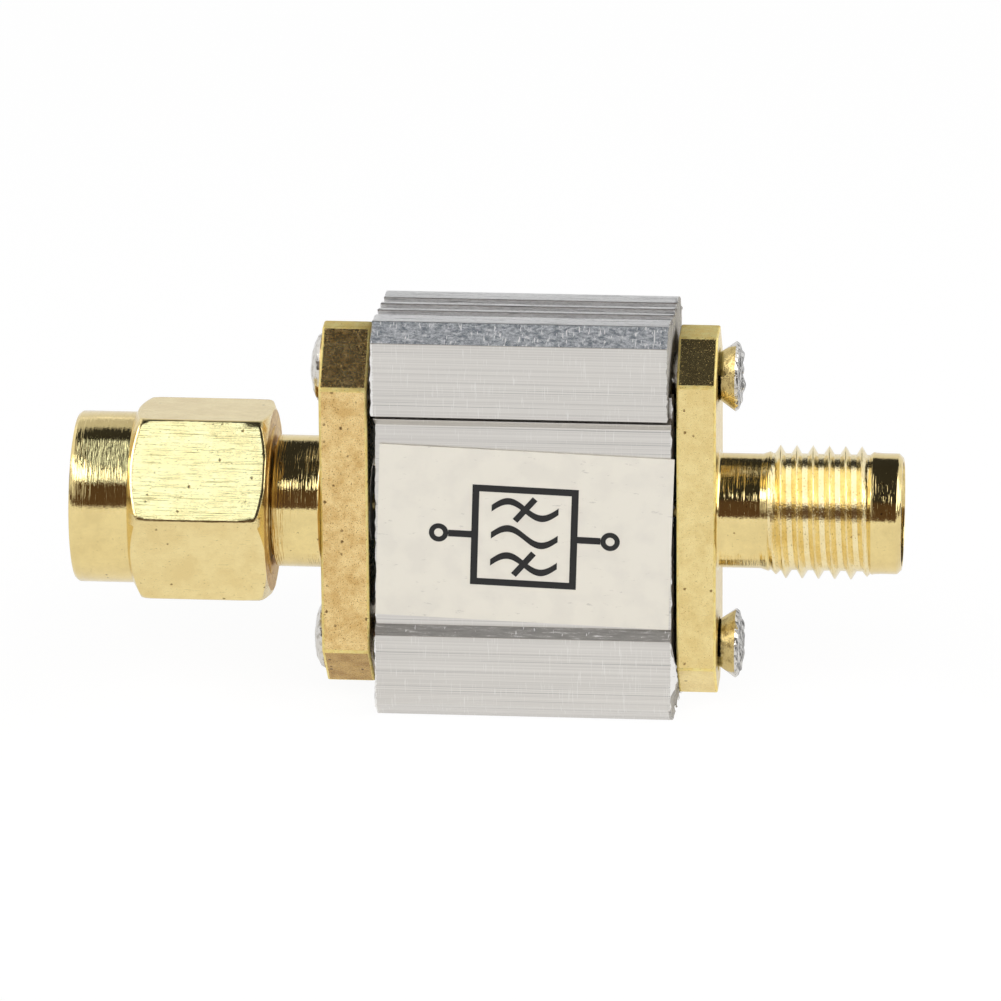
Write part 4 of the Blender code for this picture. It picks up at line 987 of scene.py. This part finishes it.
def buildLabel():
    size = {
        "width": 12.75, "height": 7.85, "thickness": 0.08, "front": -2.54, "middle": (1.725, -0.525), "tilt": 2.0,
        "line": 0.30, "box": 4.3, "lead": 1.15, "port": 0.42, "wave": 2.9, "swing": 0.36,
    }
    shape = bmesh.new()
    bmesh.ops.create_grid(shape, x_segments=64, y_segments=40, size=0.5)
    bmesh.ops.scale(shape, verts=shape.verts, vec=(size["width"], size["height"], 1))
    bmesh.ops.rotate(shape, verts=shape.verts, cent=(0, 0, 0), matrix=Matrix.Rotation(math.pi / 2, 3, "X"))
    for vert in shape.verts:
        # A crease in the upper left corner, and edges that follow the glue
        fromCorner = math.hypot(vert.co.x + 4.0, vert.co.z - 3.6)
        vert.co.y -= 0.016 * max(0.0, 1 - fromCorner / 1.5)
        edgeWay = max(abs(vert.co.x) / (size["width"] / 2), abs(vert.co.z) / (size["height"] / 2))
        vert.co.y -= 0.010 * max(0.0, edgeWay - 0.9) * 10 * abs(noise.noise(vert.co * 0.9))
    bmesh.ops.recalc_face_normals(shape, faces=shape.faces)
    if sum(face.normal.y for face in shape.faces) > 0:
        bmesh.ops.reverse_faces(shape, faces=shape.faces)
    bmesh.ops.solidify(shape, geom=list(shape.faces), thickness=size["thickness"])
    paperFaces = set(shape.faces)
    # A generic band-pass filter symbol: a box with three waves, the outer two struck out, and two ports
    front = -0.012
    half = size["box"] / 2
    line = size["line"]
    for start, end in (
        ((-half - line / 2, half), (half + line / 2, half)), ((-half - line / 2, -half), (half + line / 2, -half)),
        ((-half, line / 2 - half), (-half, half - line / 2)), ((half, line / 2 - half), (half, half - line / 2)),
        ((-half - size["lead"], 0), (-half - line / 2, 0)), ((half + line / 2, 0), (half + size["lead"], 0)),
    ):
        bar(shape, start, end, line, front)
    for side in (-1, 1):
        ringOutline(shape, size["port"], line * 0.75, 40, (side * (half + size["lead"] + size["port"]), 0), front)
    for level in (1.25, 0.0, -1.25):
        points = [
            shape.verts.new((size["wave"] * (step / 48 - 0.5), front, level - line / 2 + size["swing"] * math.sin(math.tau * step / 48)))
            for step in range(49)
        ]
        edges = [shape.edges.new(pair) for pair in zip(points, points[1:])]
        grown = bmesh.ops.extrude_edge_only(shape, edges=edges)
        moved = [item for item in grown["geom"] if isinstance(item, bmesh.types.BMVert)]
        bmesh.ops.translate(shape, verts=moved, vec=(0, 0, line))
    for level in (1.25, -1.25):
        bar(shape, (-0.42, level - 0.52), (0.42, level + 0.52), line * 0.9, front - 0.003)
    ink = [face for face in shape.faces if face not in paperFaces]
    grown = bmesh.ops.extrude_face_region(shape, geom=ink)
    moved = [item for item in grown["geom"] if isinstance(item, bmesh.types.BMVert)]
    bmesh.ops.translate(shape, verts=moved, vec=(0, 0.03, 0))
    for face in shape.faces:
        face.material_index = 0 if face in paperFaces else 1
    bmesh.ops.rotate(shape, verts=shape.verts, cent=(0, 0, 0), matrix=Matrix.Rotation(math.radians(size["tilt"]), 3, "Y"))
    bmesh.ops.translate(shape, verts=shape.verts, vec=(size["middle"][0], size["front"] + 0.016, size["middle"][1]))
    return finishPiece("printed_label", shape, [finishes["paper"], finishes["ink"]], "filter", ["label"], 40)


buildMaleBody()
femaleThread = buildFemaleBody()
couplingNut = buildCouplingNut()
print("connectors built")

buildShell("front_half_shell", -1, True)
buildShell("rear_half_shell", 1, False)
for node in ("male_flange_screw_top", "male_flange_screw_bottom"):
    buildScrew(node, stations["maleOuter"], -1)
for node in ("female_flange_screw_top", "female_flange_screw_bottom"):
    buildScrew(node, stations["femaleOuter"], 1)
buildLabel()
print("case, screws and label built")

# The pieces that stay as the frame has them get their real finishes
for finish, nodes in {
    "steel": ["nut_snap_ring"],
    "rubber": ["nut_gasket"],
    "ptfe": ["male_insulator", "female_insulator"],
    "turned": ["male_centre_pin", "female_centre_contact"],
    "board": ["circuit_board"],
    "ceramic": ["saw_filter_package"],
    "lid": ["saw_filter_lid"],
    "ferrite": ["input_inductor", "output_inductor"],
    "chipCeramic": ["input_capacitor", "output_capacitor"],
    "solder": [
        "male_pin_solder", "female_pin_solder", "male_ground_solder_upper", "male_ground_solder_lower",
        "female_ground_solder_upper", "female_ground_solder_lower",
    ],
}.items():
    for node in nodes:
        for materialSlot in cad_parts[node].material_slots:
            materialSlot.material = finishes[finish]


def buildStudio():
    look = {"floorSize": 3.0, "floorColour": "#F2F2F2"}
    floorMesh = bpy.data.meshes.new("floor")
    shape = bmesh.new()
    bmesh.ops.create_grid(shape, x_segments=1, y_segments=1, size=look["floorSize"] / 2)
    shape.to_mesh(floorMesh)
    shape.free()
    floor = bpy.data.objects.new("floor", floorMesh)
    bpy.context.scene.collection.objects.link(floor)
    material, tree, shader = startMaterial("white table")
    shader.inputs["Base Color"].default_value = linearColour(look["floorColour"])
    shader.inputs["Roughness"].default_value = 0.9
    shader.inputs["Specular IOR Level"].default_value = 0.1
    light = addNode(tree, "ShaderNodeLightPath")
    white = addNode(tree, "ShaderNodeEmission", {"Color": (1, 1, 1, 1), "Strength": 1.04})
    forCamera = addNode(tree, "ShaderNodeMath", {1: 0.90}, {0: light.outputs["Is Camera Ray"]}, operation="MULTIPLY")
    forGloss = addNode(tree, "ShaderNodeMath", {1: 0.62}, {0: light.outputs["Is Glossy Ray"]}, operation="MULTIPLY")
    share = addNode(tree, "ShaderNodeMath", links={0: forCamera.outputs[0], 1: forGloss.outputs[0]}, operation="ADD")
    mixed = addNode(tree, "ShaderNodeMixShader", links={0: share.outputs[0], 1: shader.outputs[0], 2: white.outputs[0]})
    tree.links.new(mixed.outputs[0], tree.nodes["Material Output"].inputs["Surface"])
    floorMesh.materials.append(material)

    # What the metal sees: white low in front, a dark room above it, black overhead, a pale wall behind
    world = bpy.data.worlds.new("studio")
    bpy.context.scene.world = world
    world.use_nodes = True
    tree = world.node_tree
    direction = addNode(tree, "ShaderNodeTexCoord").outputs["Generated"]
    apart = addNode(tree, "ShaderNodeSeparateXYZ", links={"Vector": direction})
    forward = addNode(tree, "ShaderNodeMath", {1: -1.0}, {0: apart.outputs["Y"]}, operation="MULTIPLY")
    rise = addNode(tree, "ShaderNodeMath", links={0: apart.outputs["Z"], 1: forward.outputs[0]}, operation="ARCTAN2")
    turnPart = addNode(tree, "ShaderNodeMath", {1: math.pi}, {0: rise.outputs[0]}, operation="DIVIDE")
    room = addNode(
        tree, "ShaderNodeValToRGB", links={"Fac": turnPart.outputs[0]},
        stops=[
            (0.0, 1.0), (0.024, 1.0), (0.032, (0.11, 0.065, 0.04, 1)), (0.21, (0.09, 0.055, 0.035, 1)),
            (0.24, (0.035, 0.033, 0.03, 1)), (0.83, (0.035, 0.035, 0.035, 1)), (0.85, 0.80), (1.0, 0.86),
        ],
    )
    lightPath = addNode(tree, "ShaderNodeLightPath")
    # Bright walls to the left and right, above the height of the table's far edge
    sideways = addNode(tree, "ShaderNodeMath", links={0: apart.outputs["X"]}, operation="ABSOLUTE")
    beside = addNode(
        tree, "ShaderNodeMapRange", {"From Min": 0.53, "From Max": 0.62}, {"Value": sideways.outputs[0]},
    )
    above = addNode(tree, "ShaderNodeMapRange", {"From Min": 0.14, "From Max": 0.30}, {"Value": apart.outputs["Z"]})
    height = addNode(tree, "ShaderNodeMath", links={0: beside.outputs[0], 1: above.outputs[0]}, operation="MULTIPLY")
    wall = addNode(
        tree, "ShaderNodeMath", links={0: height.outputs[0], 1: lightPath.outputs["Is Glossy Ray"]}, operation="MULTIPLY",
    )
    walled = addNode(
        tree, "ShaderNodeMix", {"B": (1, 1, 1, 1)}, {"Factor": wall.outputs[0], "A": room.outputs[0]}, data_type="RGBA",
    )
    seen = addNode(
        tree, "ShaderNodeMix", {"B": (1, 1, 1, 1)},
        {"Factor": lightPath.outputs["Is Camera Ray"], "A": walled.outputs["Result"]}, data_type="RGBA",
    )
    tree.links.new(seen.outputs["Result"], tree.nodes["Background"].inputs["Color"])

    def lamp(name, watts, width, height, centre, aim, glossy, colour="#FFFFFF", only=None):
        data = bpy.data.lights.new(name, "AREA")
        data.shape = "RECTANGLE"
        data.size, data.size_y = width, height
        data.energy = watts
        data.color = linearColour(colour)[:3]
        lampObject = bpy.data.objects.new(name, data)
        bpy.context.scene.collection.objects.link(lampObject)
        toward = Vector(aim) - Vector(centre)
        lampObject.matrix_world = Matrix.Translation(centre) @ toward.to_track_quat("-Z", "Y").to_matrix().to_4x4()
        lampObject.visible_glossy = glossy
        lampObject.visible_camera = False
        if only:  # this lamp lights one piece alone
            shared = bpy.data.collections.new(name + " only")
            shared.objects.link(only)
            lampObject.light_linking.receiver_collection = shared

    # A daylight softbox over the nut, from 39 to 101 degrees up, which the case and the flanges don't see
    lean = math.radians(70)
    reach = 0.343
    lamp(
        "softbox over nut", 0.18, 0.06, 0.412, (-0.030 - 0.03, -reach * math.cos(lean), reach * math.sin(lean)),
        (-0.030 - 0.03, 0, 0.009), True, "#E2F1FF", couplingNut,
    )
    lamp("softbox behind nut", 0.155, 0.5, 0.17, (-0.05, 0.263, 0.23), (-0.05, 0, 0.009), True, "#FFFFFF", couplingNut)
    lamp("softbox over thread", 0.95, 0.5, 0.46, (-0.016, -0.06, 0.27), (0.014, 0, 0.009), True, "#FFFFFF", femaleThread)
    lamp("softbox far left", 0.55, 0.40, 0.10, (-0.30, -0.15, 0.31), (-0.10, 0, 0.009), True)
    lamp("softbox right", 1.7, 0.5, 0.5, (0.50, -0.05, 0.34), (0, 0, 0.01), True)
    lamp("front fill", 3.1, 0.7, 0.5, (0.10, -0.55, 0.48), (0, 0, 0.01), False)


def buildCamera():
    fit = {
        "azimuth": 5.0, "elevation": 20.138, "roll": -0.45, "distance": 380.0, "lens": 314.43,
        "target": (0.4857, 0.0, 9.2577),
    }
    azimuth, elevation, roll = (math.radians(fit[key]) for key in ("azimuth", "elevation", "roll"))
    back = Vector((math.sin(azimuth) * math.cos(elevation), -math.cos(azimuth) * math.cos(elevation), math.sin(elevation)))
    right = Vector((math.cos(azimuth), math.sin(azimuth), 0))
    up = back.cross(right)
    tiltedRight = right * math.cos(roll) + up * math.sin(roll)
    tiltedUp = up * math.cos(roll) - right * math.sin(roll)
    position = (Vector(fit["target"]) + back * fit["distance"]) / 1000
    data = bpy.data.cameras.new("camera")
    data.lens = fit["lens"]
    data.sensor_width = 36
    data.clip_start = 0.01
    camera = bpy.data.objects.new("camera", data)
    bpy.context.scene.collection.objects.link(camera)
    turned = Matrix((tiltedRight, tiltedUp, back)).transposed().to_4x4()
    camera.matrix_world = Matrix.Translation(position) @ turned
    bpy.context.scene.camera = camera


buildStudio()
buildCamera()
bpy.context.scene.view_settings.view_transform = "Standard"
print("studio and camera set")
